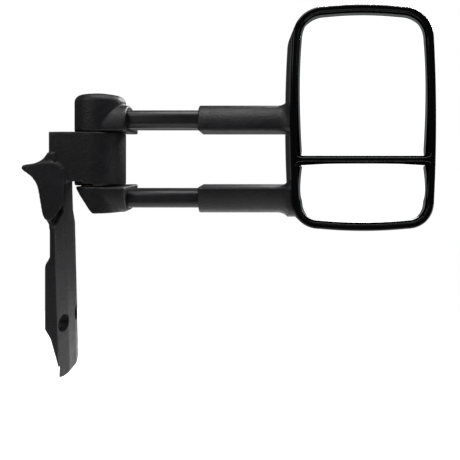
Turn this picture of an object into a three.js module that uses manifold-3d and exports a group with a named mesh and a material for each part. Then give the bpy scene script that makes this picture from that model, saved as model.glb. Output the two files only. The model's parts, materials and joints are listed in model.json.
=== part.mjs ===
// An extendable towing mirror for the right side of a vehicle, in millimetres.
// The door bracket carries a vertical shaft. Two pivot caps fold about it, and each holds a tube.
// The mirror head slides on the two tubes, and its two glasses are each turned in two directions.
// Frame: origin at the centre of the bracket's flat door pad, +X outboard, +Y forward, +Z up.
import * as THREE from "three";
import { mergeVertices } from "three/addons/utils/BufferGeometryUtils.js";
import Module from "manifold-3d";

const wasm = await Module();
wasm.setup();

// ---- Driving dimensions ----

const GAP = 0.3; // between pieces that sit against each other
const RUNNING = 0.15; // radial clearance of a turning or sliding fit
const MERGE = 1e-3;
const CURVE_SEGMENTS = 4;
const ROUND_SIDES = 24;
const DRUM_SIDES = 36;
const SCREW_SIDES = 10;

// Door bracket
const PIVOT_REACH = 60; // door pad to fold axis
const PAD_HEIGHT = 80;
const LEG_DEPTH = 68; // along Y
const LEG_FACE_X = 17; // middle facet of the leg at the knuckle
const LEG_LEAN = 0.0246; // outboard drift of that facet for each mm down
const LEG_BOTTOM = -104;
const LEG_FACET_HALF = 12; // half the width of the middle facet
const LEG_FACET_DROP = 5.5; // how far the side facets fall back at the leg's edges
const KNUCKLE_RADIUS = 33;
const KNUCKLE_HEIGHT = 69.5;
const KNUCKLE_BOTTOM = 141.5;
const NECK_X = 3;
const NECK_FRONT_Y = 24;
const NECK_REAR_Y = -30;
const NECK_BEND = 12;
const LIP_REACH = 30; // how far the hooked lip stands inboard of the pad
const LIP_Z = 165;
const LIP_THICKNESS = 9;
const LIP_ROOT_DROP = 29; // lip's middle to the foot of its lower sweep
const SHOULDER_RISE = 19.5; // lip's middle to the top of its upper sweep
const FLANGE_DROP = 60; // lip's middle to the end of the slanting flange
const PAD_PROUD = 7; // pad beyond the leg's channels above and below it
const PAD_RAMP = 12;
const FOOT_RISE = 16; // height of the thin straight foot
const FOOT_CHAMFER = 3;
const NECK_RISE = 6.5; // knuckle's lower face to the neck's underside
const POCKET_WALL = 5;
const POCKET_MARGIN = 4; // middle facet's edge to the pockets
const POCKET_DROP = 34; // knuckle's lower face to the pockets' floors
const POCKET_SLANT = 20;
const BOLT_HOLE_RADIUS = 11;
const BOLT_HOLE_Z = -36;
const BOLT_HOLE_Y = 21;
const SLOT_WIDTH = 6;
const SLOT_HEIGHT = 20;
const SLOT_Z = 126;
const SLOT_MARGIN = 10; // slot's middle to the leg's front edge

// Fold pivot
const SHAFT_RADIUS = 8;
const SHAFT_GRIP = 20; // depth of the shaft in each cap
const BUSH_WALL = 3;
const LOWER_BUSH_LENGTH = 28;
const UPPER_BUSH_LENGTH = 8;
const CHAMBER_RADIUS = 16;
const WASHER_INNER = 13;
const WASHER_OUTER = 25;
const WASHER_THICKNESS = 1.5;
const WASHER_SUNK = 0.9;
const NUT_HEIGHT = 7;
const NUT_RADIUS = 13;
const SPRING_WIRE = 1.7; // wire radius
const SPRING_TURNS = 4;
const SET_SCREW_RADIUS = 3;

// Wing section of the caps and sleeves, y forward and h away from the flat face
const WING_FRONT = 45;
const WING_REAR = 32;
const WING_HEIGHT = 35.5;
const WING_RIDGE_Y = -2;

// Pivot caps
const CAP_GAP = 1; // between each cap and the knuckle
const CAP_REACH = 40; // fold axis to the caps' outboard faces
const UPPER_CAP_HEIGHT = 51.5;
const UPPER_CAP_ROUND = 10;
const LOWER_CAP_HEIGHT = 34;
const SCOOP_START = 27; // fold axis to the lower cap's scoop, at its top
const SCOOP_X = 1;

// Extension tubes
const TUBE_DEPTH = 44; // along Y
const TUBE_HEIGHT = 24.5;
const TUBE_ROUND = 9;
const TUBE_WALL = 2;
const TUBE_Y = 2; // centre of the tube's section
const TUBE_SEAT = 3.8; // flat face to the tube's near side
const SOCKET_DEPTH = 26;
const TUBE_EXPOSED = 93; // cap face to sleeve mouth, arms extended
const TUBE_OVERLAP = 82; // tube inside the sleeve, arms extended
const TRAVEL = 92;
const BORE_OFFSET = 1.6; // sleeve bore outside the tube
const SCREW_RADIUS = 2;
const SCREW_HEAD_RADIUS = 4;
const SCREW_HEAD_HEIGHT = 2.2;

// Head
const HEAD_WIDTH = 182;
const HEAD_HEIGHT = 282.5;
const HEAD_GAP = 116.3; // sleeve mouth to the head's side wall
const HEAD_RISE = 51.2; // arms' middle to the head's middle
const HEAD_BACK_Y = -45; // bezel face
const HEAD_FRONT_Y = 48; // furthest point of the shell
const CORNER_TOP = 44;
const CORNER_BOTTOM = 37;
const CROWN = 2.6; // bulge of each side of the outline
const SHELL_WALL = 2.8;
const SHELL_ROUND = 22; // between the shell's sides and its front
const SHELL_SLOPE = 15; // the front lies this much lower at its inboard edge
const SHELL_DOME = 7; // and this much lower at its top and bottom
const FIN_END = 45; // outboard end of the fins from the head's middle
const TUNNEL_WALL = 2;

// Bezel and glasses
const BEZEL_DEPTH = 11;
const BEZEL_BAND = 8.5;
const SKIRT_WALL = 2.6;
const SKIRT_DEPTH = 6;
const DIVIDER_HEIGHT = 5.5;
const DIVIDER_DEPTH = 9;
const DIVIDER_Z = -52; // divider's middle from the head's middle
const GLASS_GAP = 1.5; // glass edge to bezel opening
const GLASS_SUNK = 3.5; // bezel face to glass
const GLASS_THICKNESS = 2;
const SPOTTER_BULGE = 1.2;
const CARRIER_THICKNESS = 2.4;
const CARRIER_INSET = 2; // carrier edge inside the glass edge
const CARRIER_RIB = 2;

// Adjusters
const GIMBAL_DEPTH = 9; // carrier to the gimbal's axes
const GIMBAL_EAR_GAP = 22; // between the ears of a base
const CARRIER_EAR_GAP = 22;
const EAR_THICKNESS = 4;
const EAR_WIDTH = 9;
const GIMBAL_PIN_RADIUS = 3;
const GIMBAL_HUB = 9;
const BASE_RADIUS = 17;
const BASE_FLANGE = 3;
const FRAME_Y = 14;
const FRAME_THICKNESS = 3;
const FRAME_MARGIN = 18; // inner frame edge to head outline
const FRAME_ROUND = 14;
const BOSS_RADIUS = 6;
const BOSS_MARGIN = 4; // boss edge to the inner frame's ends
const RIB_WIDTH = 3;
const RIB_HEIGHT = 9;
const RIB_MARGIN = 30;
const WINDOW_WIDTH = 40;
const WINDOW_HEIGHT = 34;
const WINDOW_MARGIN = 12;
const WINDOW_ROUND = 8;
const PIN_CLEARANCE = 0.1;
const POST_HEIGHT = 12;

// ---- Derived places ----

const KNUCKLE_TOP = KNUCKLE_BOTTOM + KNUCKLE_HEIGHT;
const UPPER_FLAT = KNUCKLE_TOP + CAP_GAP;
const LOWER_FLAT = KNUCKLE_BOTTOM - CAP_GAP;
const CAP_END = PIVOT_REACH + CAP_REACH;
const TUBE_START = CAP_END - SOCKET_DEPTH;
const MOUTH_X = CAP_END + TUBE_EXPOSED;
const TUBE_END = MOUTH_X + TUBE_OVERLAP;
const HEAD_X = MOUTH_X + HEAD_GAP + HEAD_WIDTH / 2;
const HEAD_Z = (UPPER_FLAT + LOWER_FLAT) / 2 + HEAD_RISE;
const HEAD_SIDE_X = HEAD_X - HEAD_WIDTH / 2;
const TUNNEL_END = TUBE_END + TRAVEL + SCREW_HEAD_RADIUS;
const RIM_Y = HEAD_BACK_Y + BEZEL_DEPTH + GAP;
const GLASS_Y = HEAD_BACK_Y + GLASS_SUNK;
const CARRIER_Y = GLASS_Y + GLASS_THICKNESS + GAP;
const GIMBAL_Y = CARRIER_Y + CARRIER_THICKNESS + GIMBAL_DEPTH;
const OPENING_HALF_WIDTH = HEAD_WIDTH / 2 - BEZEL_BAND;
const OPENING_HALF_HEIGHT = HEAD_HEIGHT / 2 - BEZEL_BAND;
const DIVIDER_TOP = DIVIDER_Z + DIVIDER_HEIGHT / 2;
const DIVIDER_BASE = DIVIDER_Z - DIVIDER_HEIGHT / 2;
const MAIN_V = (OPENING_HALF_HEIGHT + DIVIDER_TOP) / 2;
const SPOTTER_V = (-OPENING_HALF_HEIGHT + DIVIDER_BASE) / 2;

// ---- Materials ----

const finish = (color, roughness, metalness) => () =>
  new THREE.MeshStandardMaterial({ color, roughness, metalness });
const TEXTURED_BLACK = finish(0x26262a, 0.62, 0);
const SATIN_BLACK = finish(0x1b1b1d, 0.5, 0);
const GLOSS_BLACK = finish(0x0c0c0e, 0.12, 0);
const TUBE_BLACK = finish(0x121214, 0.16, 0.4);
const INNER_PLASTIC = finish(0x3a3b3d, 0.6, 0);
const ACETAL = finish(0xd9d7cf, 0.4, 0);
const FRICTION_FELT = finish(0x6b5a48, 0.9, 0);
const ZINC_STEEL = finish(0xa9adb0, 0.35, 1);
const SPRING_STEEL = finish(0x5c6064, 0.3, 1);
const MIRROR_GLASS = finish(0xe9ebec, 0.03, 1);

// ---- Solids ----

// A closed geometry as a solid that can be joined and cut.
function solid(geometry) {
  const loose = geometry.index ? geometry.toNonIndexed() : geometry;
  const bare = new THREE.BufferGeometry();
  bare.setAttribute("position", loose.getAttribute("position"));
  const merged = mergeVertices(bare, MERGE);
  const vertProperties = merged.attributes.position.array;
  const triVerts = new Uint32Array(merged.index.array);
  return new wasm.Manifold(new wasm.Mesh({ numProp: 3, vertProperties, triVerts }));
}

function geometryOf(body) {
  const mesh = body.getMesh();
  const geometry = new THREE.BufferGeometry();
  const positions = new Float32Array(mesh.vertProperties);
  geometry.setAttribute("position", new THREE.BufferAttribute(positions, 3));
  geometry.setIndex(new THREE.BufferAttribute(new Uint32Array(mesh.triVerts), 1));
  geometry.computeVertexNormals();
  return geometry;
}

function join(...geometries) {
  const bodies = geometries.map(solid);
  return geometryOf(bodies.reduce((all, body) => all.add(body)));
}

function cut(geometry, ...tools) {
  const bodies = tools.map(solid);
  return geometryOf(bodies.reduce((rest, body) => rest.subtract(body), solid(geometry)));
}

function common(geometry, other) {
  return geometryOf(solid(geometry).intersect(solid(other)));
}

// Moves every vertex of a geometry by a rule on its position.
function warp(geometry, rule) {
  const position = geometry.getAttribute("position");
  const point = new THREE.Vector3();
  for (let i = 0; i < position.count; i += 1) {
    point.fromBufferAttribute(position, i);
    rule(point);
    position.setXYZ(i, point.x, point.y, point.z);
  }
  return geometry;
}

function extrude(shape, depth, steps, curveSegments) {
  return new THREE.ExtrudeGeometry(shape, { depth, steps, curveSegments, bevelEnabled: false });
}

// A shape drawn in y and z, carried along X.
function alongX(shape, fromX, toX, steps = 1, curveSegments = CURVE_SEGMENTS) {
  const X = new THREE.Vector3(1, 0, 0);
  const Y = new THREE.Vector3(0, 1, 0);
  const Z = new THREE.Vector3(0, 0, 1);
  const turn = new THREE.Matrix4().makeBasis(Y, Z, X);
  return extrude(shape, toX - fromX, steps, curveSegments).applyMatrix4(turn).translate(fromX, 0, 0);
}

// A shape drawn in x and z, carried along Y.
function alongY(shape, fromY, toY, steps = 1, curveSegments = CURVE_SEGMENTS) {
  const quarter = Math.PI / 2;
  return extrude(shape, toY - fromY, steps, curveSegments).rotateX(quarter).translate(0, toY, 0);
}

// A shape drawn in x and y, carried along Z.
function alongZ(shape, fromZ, toZ, steps = 1, curveSegments = CURVE_SEGMENTS) {
  return extrude(shape, toZ - fromZ, steps, curveSegments).translate(0, 0, fromZ);
}

function polygon(points) {
  return new THREE.Shape(points.map(([a, b]) => new THREE.Vector2(a, b)));
}

function roundedBox(centreA, centreB, sizeA, sizeB, radius) {
  const left = centreA - sizeA / 2;
  const right = centreA + sizeA / 2;
  const low = centreB - sizeB / 2;
  const high = centreB + sizeB / 2;
  const shape = new THREE.Shape();
  shape.moveTo(left + radius, low);
  shape.lineTo(right - radius, low);
  shape.absarc(right - radius, low + radius, radius, -Math.PI / 2, 0, false);
  shape.absarc(right - radius, high - radius, radius, 0, Math.PI / 2, false);
  shape.absarc(left + radius, high - radius, radius, Math.PI / 2, Math.PI, false);
  shape.absarc(left + radius, low + radius, radius, Math.PI, Math.PI * 1.5, false);
  return shape;
}

function box(sizeX, sizeY, sizeZ, x, y, z) {
  return new THREE.BoxGeometry(sizeX, sizeY, sizeZ).translate(x, y, z);
}

function rodX(radius, fromX, toX, y, z, sides = 16) {
  const length = toX - fromX;
  const rod = new THREE.CylinderGeometry(radius, radius, length, sides).rotateZ(-Math.PI / 2);
  return rod.translate(fromX + length / 2, y, z);
}

function rodY(radius, fromY, toY, x, z, sides = 16) {
  const length = toY - fromY;
  return new THREE.CylinderGeometry(radius, radius, length, sides).translate(x, fromY + length / 2, z);
}

function rodZ(radius, fromZ, toZ, x, y, sides = 16) {
  const length = toZ - fromZ;
  const rod = new THREE.CylinderGeometry(radius, radius, length, sides).rotateX(Math.PI / 2);
  return rod.translate(x, y, fromZ + length / 2);
}

// A body of revolution about a vertical axis; the profile is a list of [radius, height].
function turned(profile, x, z, sides = ROUND_SIDES) {
  const points = profile.map(([radius, height]) => new THREE.Vector2(radius, height));
  return new THREE.LatheGeometry(points, sides).rotateX(Math.PI / 2).translate(x, 0, z);
}

// A ring with a square section about the fold axis.
function ring(inner, outer, fromZ, toZ, sides = ROUND_SIDES) {
  const height = toZ - fromZ;
  const profile = [
    [inner, 0],
    [outer, 0],
    [outer, height],
    [inner, height],
    [inner, 0],
  ];
  return turned(profile, PIVOT_REACH, fromZ, sides);
}

// The arms mirror each other about the plane half way between their flat faces. A geometry drawn
// with z as the distance from the flat face is put on the upper or the lower arm.
const UPPER = { name: "upper", flat: UPPER_FLAT, sign: 1 };
const LOWER = { name: "lower", flat: LOWER_FLAT, sign: -1 };

function onArm(geometry, arm) {
  const placed = geometry.index ? geometry.toNonIndexed() : geometry.clone();
  placed.scale(1, 1, arm.sign).translate(0, 0, arm.flat);
  if (arm.sign > 0) return placed;
  const position = placed.getAttribute("position");
  const second = new THREE.Vector3();
  const third = new THREE.Vector3();
  for (let i = 0; i < position.count; i += 3) {
    second.fromBufferAttribute(position, i + 1);
    third.fromBufferAttribute(position, i + 2);
    position.setXYZ(i + 1, third.x, third.y, third.z);
    position.setXYZ(i + 2, second.x, second.y, second.z);
  }
  return placed;
}

// ---- Door bracket ----

// The bracket's side view in x and z: the hooked lip, the door pad and the pointed foot.
function legSide() {
  const padHalf = PAD_HEIGHT / 2;
  const lipHalf = LIP_THICKNESS / 2;
  const flangeX = -PAD_PROUD;
  const shape = new THREE.Shape();
  shape.moveTo(PIVOT_REACH, LIP_Z + LIP_THICKNESS);
  shape.lineTo(NECK_X, LIP_Z + SHOULDER_RISE);
  shape.quadraticCurveTo(flangeX / 2, LIP_Z + lipHalf + 1, flangeX - LIP_REACH / 2, LIP_Z + lipHalf);
  shape.lineTo(FOOT_CHAMFER - LIP_REACH, LIP_Z + lipHalf - 1);
  shape.quadraticCurveTo(-LIP_REACH, LIP_Z, FOOT_CHAMFER - LIP_REACH, LIP_Z + 1 - lipHalf);
  shape.quadraticCurveTo(flangeX - 1, LIP_Z - LIP_ROOT_DROP / 2, flangeX + 1, LIP_Z - LIP_ROOT_DROP);
  shape.lineTo(-1, LIP_Z - FLANGE_DROP);
  shape.lineTo(PAD_PROUD - 1, LIP_Z - FLANGE_DROP - PAD_RAMP);
  shape.lineTo(PAD_PROUD, padHalf + PAD_RAMP);
  shape.lineTo(0, padHalf);
  shape.lineTo(0, -padHalf);
  shape.lineTo(PAD_PROUD, -padHalf - PAD_RAMP);
  shape.lineTo(LEG_FACE_X, LEG_BOTTOM + FOOT_RISE);
  shape.lineTo(LEG_FACE_X, LEG_BOTTOM + FOOT_CHAMFER);
  shape.lineTo(LEG_FACE_X + FOOT_CHAMFER, LEG_BOTTOM);
  shape.lineTo(PIVOT_REACH, LEG_BOTTOM);
  return shape;
}

// The leg's section in x and y: three facets outboard. The section drifts outboard downwards.
function legPlan() {
  const half = LEG_DEPTH / 2;
  const edge = LEG_FACE_X - LEG_FACET_DROP;
  const shape = polygon([
    [edge, -half],
    [LEG_FACE_X, -LEG_FACET_HALF],
    [LEG_FACE_X, LEG_FACET_HALF],
    [edge, half],
    [-LIP_REACH * 2, half],
    [-LIP_REACH * 2, -half],
  ]);
  const prism = alongZ(shape, LEG_BOTTOM, KNUCKLE_TOP);
  return warp(prism, (p) => {
    if (p.x > 0) p.x += (KNUCKLE_BOTTOM - p.z) * LEG_LEAN;
  });
}

// A scoop beside the middle facet, with a slanting lower edge; side is -1 at the rear, 1 in front.
function legPocket(side) {
  const near = LEG_FACET_HALF + POCKET_MARGIN;
  const far = LEG_DEPTH / 2 + 1;
  const ceiling = KNUCKLE_BOTTOM + NECK_RISE / 2;
  const outline = polygon([
    [near, ceiling],
    [near, KNUCKLE_BOTTOM - POCKET_DROP],
    [far, KNUCKLE_BOTTOM - POCKET_DROP - POCKET_SLANT],
    [far, ceiling],
  ]);
  const start = NECK_X + POCKET_WALL;
  const scoop = alongX(outline, start, PIVOT_REACH);
  return side > 0 ? scoop : scoop.rotateZ(Math.PI).translate(start + PIVOT_REACH, 0, 0);
}

function neck() {
  const plan = polygon([
    [NECK_X, NECK_REAR_Y],
    [PIVOT_REACH, -KNUCKLE_RADIUS + GAP],
    [PIVOT_REACH, KNUCKLE_RADIUS - GAP],
    [NECK_X + NECK_BEND, NECK_FRONT_Y + 3],
    [NECK_X, NECK_FRONT_Y],
  ]);
  return alongZ(plan, KNUCKLE_BOTTOM + NECK_RISE, KNUCKLE_TOP);
}

const CHAMBER_FLOOR = KNUCKLE_BOTTOM + LOWER_BUSH_LENGTH;
const UPPER_BUSH_Z = KNUCKLE_TOP - WASHER_SUNK - UPPER_BUSH_LENGTH;

function doorBracket() {
  const leg = common(alongY(legSide(), -LEG_DEPTH / 2, LEG_DEPTH / 2), legPlan());
  const knuckle = rodZ(KNUCKLE_RADIUS, KNUCKLE_BOTTOM, KNUCKLE_TOP, PIVOT_REACH, 0, DRUM_SIDES);
  const body = join(leg, neck(), knuckle);
  const bushBore = SHAFT_RADIUS + BUSH_WALL + RUNNING * 2;
  const sunk = WASHER_SUNK + GAP;
  const washerSeat = WASHER_OUTER + GAP;
  const slotY = LEG_DEPTH / 2 - SLOT_MARGIN;
  const slot = roundedBox(slotY, SLOT_Z, SLOT_WIDTH, SLOT_HEIGHT, SLOT_WIDTH / 2 - MERGE);
  return cut(
    body,
    legPocket(1),
    legPocket(-1),
    rodZ(bushBore, KNUCKLE_BOTTOM - 1, KNUCKLE_TOP + 1, PIVOT_REACH, 0, ROUND_SIDES),
    rodZ(CHAMBER_RADIUS, CHAMBER_FLOOR, KNUCKLE_TOP + 1, PIVOT_REACH, 0, ROUND_SIDES),
    rodZ(washerSeat, KNUCKLE_TOP - sunk, KNUCKLE_TOP + 1, PIVOT_REACH, 0, ROUND_SIDES),
    rodZ(washerSeat, KNUCKLE_BOTTOM - 1, KNUCKLE_BOTTOM + sunk, PIVOT_REACH, 0, ROUND_SIDES),
    rodX(BOLT_HOLE_RADIUS, -LIP_REACH, PIVOT_REACH, BOLT_HOLE_Y, BOLT_HOLE_Z, ROUND_SIDES),
    rodX(BOLT_HOLE_RADIUS, -LIP_REACH, PIVOT_REACH, -BOLT_HOLE_Y, BOLT_HOLE_Z, ROUND_SIDES),
    alongX(slot, -LIP_REACH * 2, PIVOT_REACH, 1, 4),
  );
}

// ---- Fold pivot ----

const SHAFT_LOW = LOWER_FLAT - SHAFT_GRIP + GAP;
const SHAFT_HIGH = UPPER_FLAT + SHAFT_GRIP - GAP;
const NUT_TOP = UPPER_BUSH_Z - 2;
const NUT_LOW = NUT_TOP - NUT_HEIGHT;
const SPRING_HIGH = NUT_LOW - GAP * 2 - WASHER_THICKNESS;

function upperBush() {
  const outer = CHAMBER_RADIUS - RUNNING * 2;
  return ring(SHAFT_RADIUS + RUNNING, outer, UPPER_BUSH_Z, UPPER_BUSH_Z + UPPER_BUSH_LENGTH - GAP);
}

function lowerBush() {
  const inner = SHAFT_RADIUS + RUNNING;
  const fromZ = KNUCKLE_BOTTOM + WASHER_SUNK + GAP;
  return ring(inner, SHAFT_RADIUS + BUSH_WALL, fromZ, CHAMBER_FLOOR - GAP);
}

// A friction washer, sunk in the knuckle's end face and standing a little proud of it.
function frictionWasher(top) {
  const proud = WASHER_THICKNESS - WASHER_SUNK;
  const fromZ = top ? KNUCKLE_TOP - WASHER_SUNK : KNUCKLE_BOTTOM - proud;
  return ring(WASHER_INNER, WASHER_OUTER, fromZ, fromZ + WASHER_THICKNESS);
}

function pivotShaft() {
  const chamfer = 1;
  const length = SHAFT_HIGH - SHAFT_LOW;
  const profile = [
    [0, 0],
    [SHAFT_RADIUS - chamfer, 0],
    [SHAFT_RADIUS, chamfer],
    [SHAFT_RADIUS, length - chamfer],
    [SHAFT_RADIUS - chamfer, length],
    [0, length],
  ];
  return turned(profile, PIVOT_REACH, SHAFT_LOW);
}

function lockNut() {
  const hexagon = rodZ(NUT_RADIUS, NUT_LOW, NUT_TOP, PIVOT_REACH, 0, 6);
  const bore = rodZ(SHAFT_RADIUS + RUNNING, NUT_LOW - 1, NUT_TOP + 1, PIVOT_REACH, 0, ROUND_SIDES);
  return cut(hexagon, bore);
}

function springWasher() {
  const outer = CHAMBER_RADIUS - GAP * 2;
  return ring(SHAFT_RADIUS + RUNNING, outer, SPRING_HIGH + GAP, SPRING_HIGH + GAP + WASHER_THICKNESS);
}

class Helix extends THREE.Curve {
  constructor(radius, low, high, turns) {
    super();
    this.radius = radius;
    this.low = low;
    this.high = high;
    this.turns = turns;
  }

  getPoint(t, target = new THREE.Vector3()) {
    const angle = t * this.turns * Math.PI * 2;
    const x = PIVOT_REACH + this.radius * Math.cos(angle);
    return target.set(x, this.radius * Math.sin(angle), this.low + (this.high - this.low) * t);
  }
}

function foldSpring() {
  const radius = (SHAFT_RADIUS + CHAMBER_RADIUS) / 2;
  const low = CHAMBER_FLOOR + SPRING_WIRE + GAP;
  const path = new Helix(radius, low, SPRING_HIGH - SPRING_WIRE, SPRING_TURNS);
  const wire = new THREE.Shape().absarc(0, 0, SPRING_WIRE, 0, Math.PI * 2, false);
  const stepsPerTurn = 12;
  const steps = SPRING_TURNS * stepsPerTurn;
  return new THREE.ExtrudeGeometry(wire, { steps, curveSegments: 3, extrudePath: path });
}

function setScrew(arm) {
  const screw = rodX(
    SET_SCREW_RADIUS - RUNNING,
    PIVOT_REACH + SHAFT_RADIUS + GAP,
    TUBE_START - GAP,
    0,
    SHAFT_GRIP / 2,
    SCREW_SIDES,
  );
  return onArm(screw, arm);
}

// ---- Arms ----

// The wing's section: flat on the arm's inner side, a ridge outside, and a thin leading edge.
function wingShape(front = WING_FRONT) {
  const shape = new THREE.Shape();
  const edge = front - 0.4;
  shape.moveTo(-WING_REAR + 4, 0);
  shape.lineTo(front - 2, 0);
  shape.quadraticCurveTo(front + 0.4, 0.2, edge, 2.4);
  shape.bezierCurveTo(edge - 6, 16, edge - 19, WING_HEIGHT, WING_RIDGE_Y, WING_HEIGHT);
  shape.bezierCurveTo(WING_RIDGE_Y - 18, WING_HEIGHT, 2 - WING_REAR, 24, -WING_REAR, 4);
  shape.quadraticCurveTo(-WING_REAR, 0, -WING_REAR + 4, 0);
  return shape;
}

// The tube's section, grown or shrunk by an offset.
function tubeShape(offset) {
  const centre = TUBE_SEAT + TUBE_HEIGHT / 2;
  const depth = TUBE_DEPTH + offset * 2;
  const height = TUBE_HEIGHT + offset * 2;
  return roundedBox(TUBE_Y, centre, depth, height, TUBE_ROUND + offset);
}

const SCREW_X = CAP_END - SOCKET_DEPTH / 2;
const TUBE_SCREW_YS = [TUBE_Y - TUBE_DEPTH / 4, TUBE_Y + TUBE_DEPTH / 4];
const TUBE_SCREW_TIP = TUBE_SEAT + TUBE_WALL + 3;

// What each cap needs inside: the shaft's bore, the tube's socket and the holes for its screws.
function capCuts() {
  const hole = SCREW_RADIUS + RUNNING;
  const headSeat = SCREW_HEAD_HEIGHT + GAP;
  const screwHoles = TUBE_SCREW_YS.flatMap((y) => [
    rodZ(hole, -1, TUBE_SCREW_TIP, SCREW_X, y, SCREW_SIDES),
    rodZ(SCREW_HEAD_RADIUS + GAP, -1, headSeat, SCREW_X, y, 16),
  ]);
  return [
    rodZ(SHAFT_RADIUS + RUNNING, -1, SHAFT_GRIP, PIVOT_REACH, 0, ROUND_SIDES),
    alongX(tubeShape(RUNNING), TUBE_START, CAP_END + 1),
    rodX(SET_SCREW_RADIUS, PIVOT_REACH, TUBE_START + 1, 0, SHAFT_GRIP / 2, SCREW_SIDES),
    ...screwHoles,
  ];
}

// The wing narrows towards the fold axis so that its nose meets the cap's round side.
function capWing() {
  const start = PIVOT_REACH;
  const wing = alongX(wingShape(), start, CAP_END, 4);
  return warp(wing, (p) => {
    const share = (p.x - start) / CAP_REACH;
    const reach = KNUCKLE_RADIUS + (WING_FRONT - KNUCKLE_RADIUS) * Math.sin((share * Math.PI) / 2);
    if (p.y > 0) p.y *= (reach - GAP) / WING_FRONT;
  });
}

function domeProfile() {
  const profile = [
    [0, 0],
    [KNUCKLE_RADIUS, 0],
  ];
  const arcSteps = 5;
  for (let i = 0; i <= arcSteps; i += 1) {
    const angle = ((i / arcSteps) * Math.PI) / 2;
    const radius = KNUCKLE_RADIUS - UPPER_CAP_ROUND * (1 - Math.cos(angle));
    const height = UPPER_CAP_HEIGHT - 3 - UPPER_CAP_ROUND * (1 - Math.sin(angle));
    profile.push([radius, height]);
  }
  profile.push([0, UPPER_CAP_HEIGHT]);
  return profile;
}

function upperPivotCap() {
  const dome = turned(domeProfile(), PIVOT_REACH, 0, DRUM_SIDES);
  return onArm(cut(join(dome, capWing()), ...capCuts()), UPPER);
}

// The lower cap's side view in x and h: a diagonal scoop inboard and a round outboard corner.
function lowerCapSide() {
  const inboard = PIVOT_REACH - SCOOP_START;
  const shape = new THREE.Shape();
  shape.moveTo(inboard, 0);
  shape.lineTo(CAP_END, 0);
  shape.lineTo(CAP_END, LOWER_CAP_HEIGHT - 6);
  shape.quadraticCurveTo(CAP_END, LOWER_CAP_HEIGHT, CAP_END - 6, LOWER_CAP_HEIGHT);
  shape.lineTo(PIVOT_REACH + SCOOP_X, LOWER_CAP_HEIGHT);
  const kneeX = PIVOT_REACH - SCOOP_X * 2;
  shape.quadraticCurveTo(kneeX, LOWER_CAP_HEIGHT, kneeX - 9, LOWER_CAP_HEIGHT - 14);
  return shape;
}

function lowerPivotCap() {
  const drum = rodZ(KNUCKLE_RADIUS, 0, LOWER_CAP_HEIGHT, PIVOT_REACH, 0, DRUM_SIDES);
  const side = alongY(lowerCapSide(), -WING_REAR * 2, WING_FRONT * 2);
  return onArm(cut(common(join(drum, capWing()), side), ...capCuts()), LOWER);
}

function tube(arm) {
  const outer = alongX(tubeShape(0), TUBE_START + GAP, TUBE_END);
  const inner = alongX(tubeShape(-TUBE_WALL), TUBE_START - 1, TUBE_END + 1);
  const holes = TUBE_SCREW_YS.map((y) =>
    rodZ(SCREW_RADIUS + RUNNING, -1, TUBE_SCREW_TIP + 1, SCREW_X, y, SCREW_SIDES),
  );
  return onArm(cut(outer, inner, ...holes), arm);
}

function tubeScrew(arm, y) {
  const head = rodZ(SCREW_HEAD_RADIUS, GAP, SCREW_HEAD_HEIGHT, SCREW_X, y, 16);
  const shank = rodZ(SCREW_RADIUS, GAP, TUBE_SCREW_TIP - GAP, SCREW_X, y, SCREW_SIDES);
  return onArm(join(head, shank), arm);
}

// The shoe that slides in the sleeve's bore, plugged into the tube's hidden end.
function tubeGlide(arm) {
  const flangeX = TUBE_END + GAP;
  const flange = alongX(tubeShape(BORE_OFFSET - RUNNING), flangeX, flangeX + 3);
  const plug = alongX(tubeShape(-TUBE_WALL - RUNNING), TUBE_END - 12, flangeX + 1);
  return onArm(join(flange, plug), arm);
}

// ---- Head ----

// A rounded rectangle with slightly crowned sides about the head's middle.
function headShape(inset) {
  const a = HEAD_WIDTH / 2 - inset;
  const b = HEAD_HEIGHT / 2 - inset;
  return crownedShape(-a, a, -b, b, CORNER_TOP - inset, CORNER_BOTTOM - inset);
}

function crownedShape(left, right, low, high, topRadius, bottomRadius, crownLow = CROWN) {
  const kappa = 0.45;
  const middleU = (left + right) / 2;
  const middleV = (low + high) / 2;
  const shape = new THREE.Shape();
  shape.moveTo(left + bottomRadius, low + crownLow);
  shape.quadraticCurveTo(middleU, low - crownLow, right - bottomRadius, low + crownLow);
  const lowTurn = bottomRadius * kappa;
  const highTurn = topRadius * kappa;
  shape.bezierCurveTo(right - lowTurn, low + crownLow, right - CROWN, low + lowTurn,
    right - CROWN, low + bottomRadius);
  shape.quadraticCurveTo(right + CROWN, middleV, right - CROWN, high - topRadius);
  shape.bezierCurveTo(right - CROWN, high - highTurn, right - highTurn, high - CROWN,
    right - topRadius, high - CROWN);
  shape.quadraticCurveTo(middleU, high + CROWN, left + topRadius, high - CROWN);
  shape.bezierCurveTo(left + highTurn, high - CROWN, left + CROWN, high - highTurn,
    left + CROWN, high - topRadius);
  shape.quadraticCurveTo(left - CROWN, middleV, left + CROWN, low + bottomRadius);
  shape.bezierCurveTo(left + CROWN, low + lowTurn, left + lowTurn, low + crownLow,
    left + bottomRadius, low + crownLow);
  return shape;
}

// Depth of the shell's front panel at a place u, v from the head's middle.
function frontDrop(u, v) {
  const inboard = (HEAD_WIDTH / 2 - u) / HEAD_WIDTH;
  const height = v / (HEAD_HEIGHT / 2);
  return SHELL_SLOPE * Math.max(inboard, 0) ** 1.3 + SHELL_DOME * height * height;
}

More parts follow.
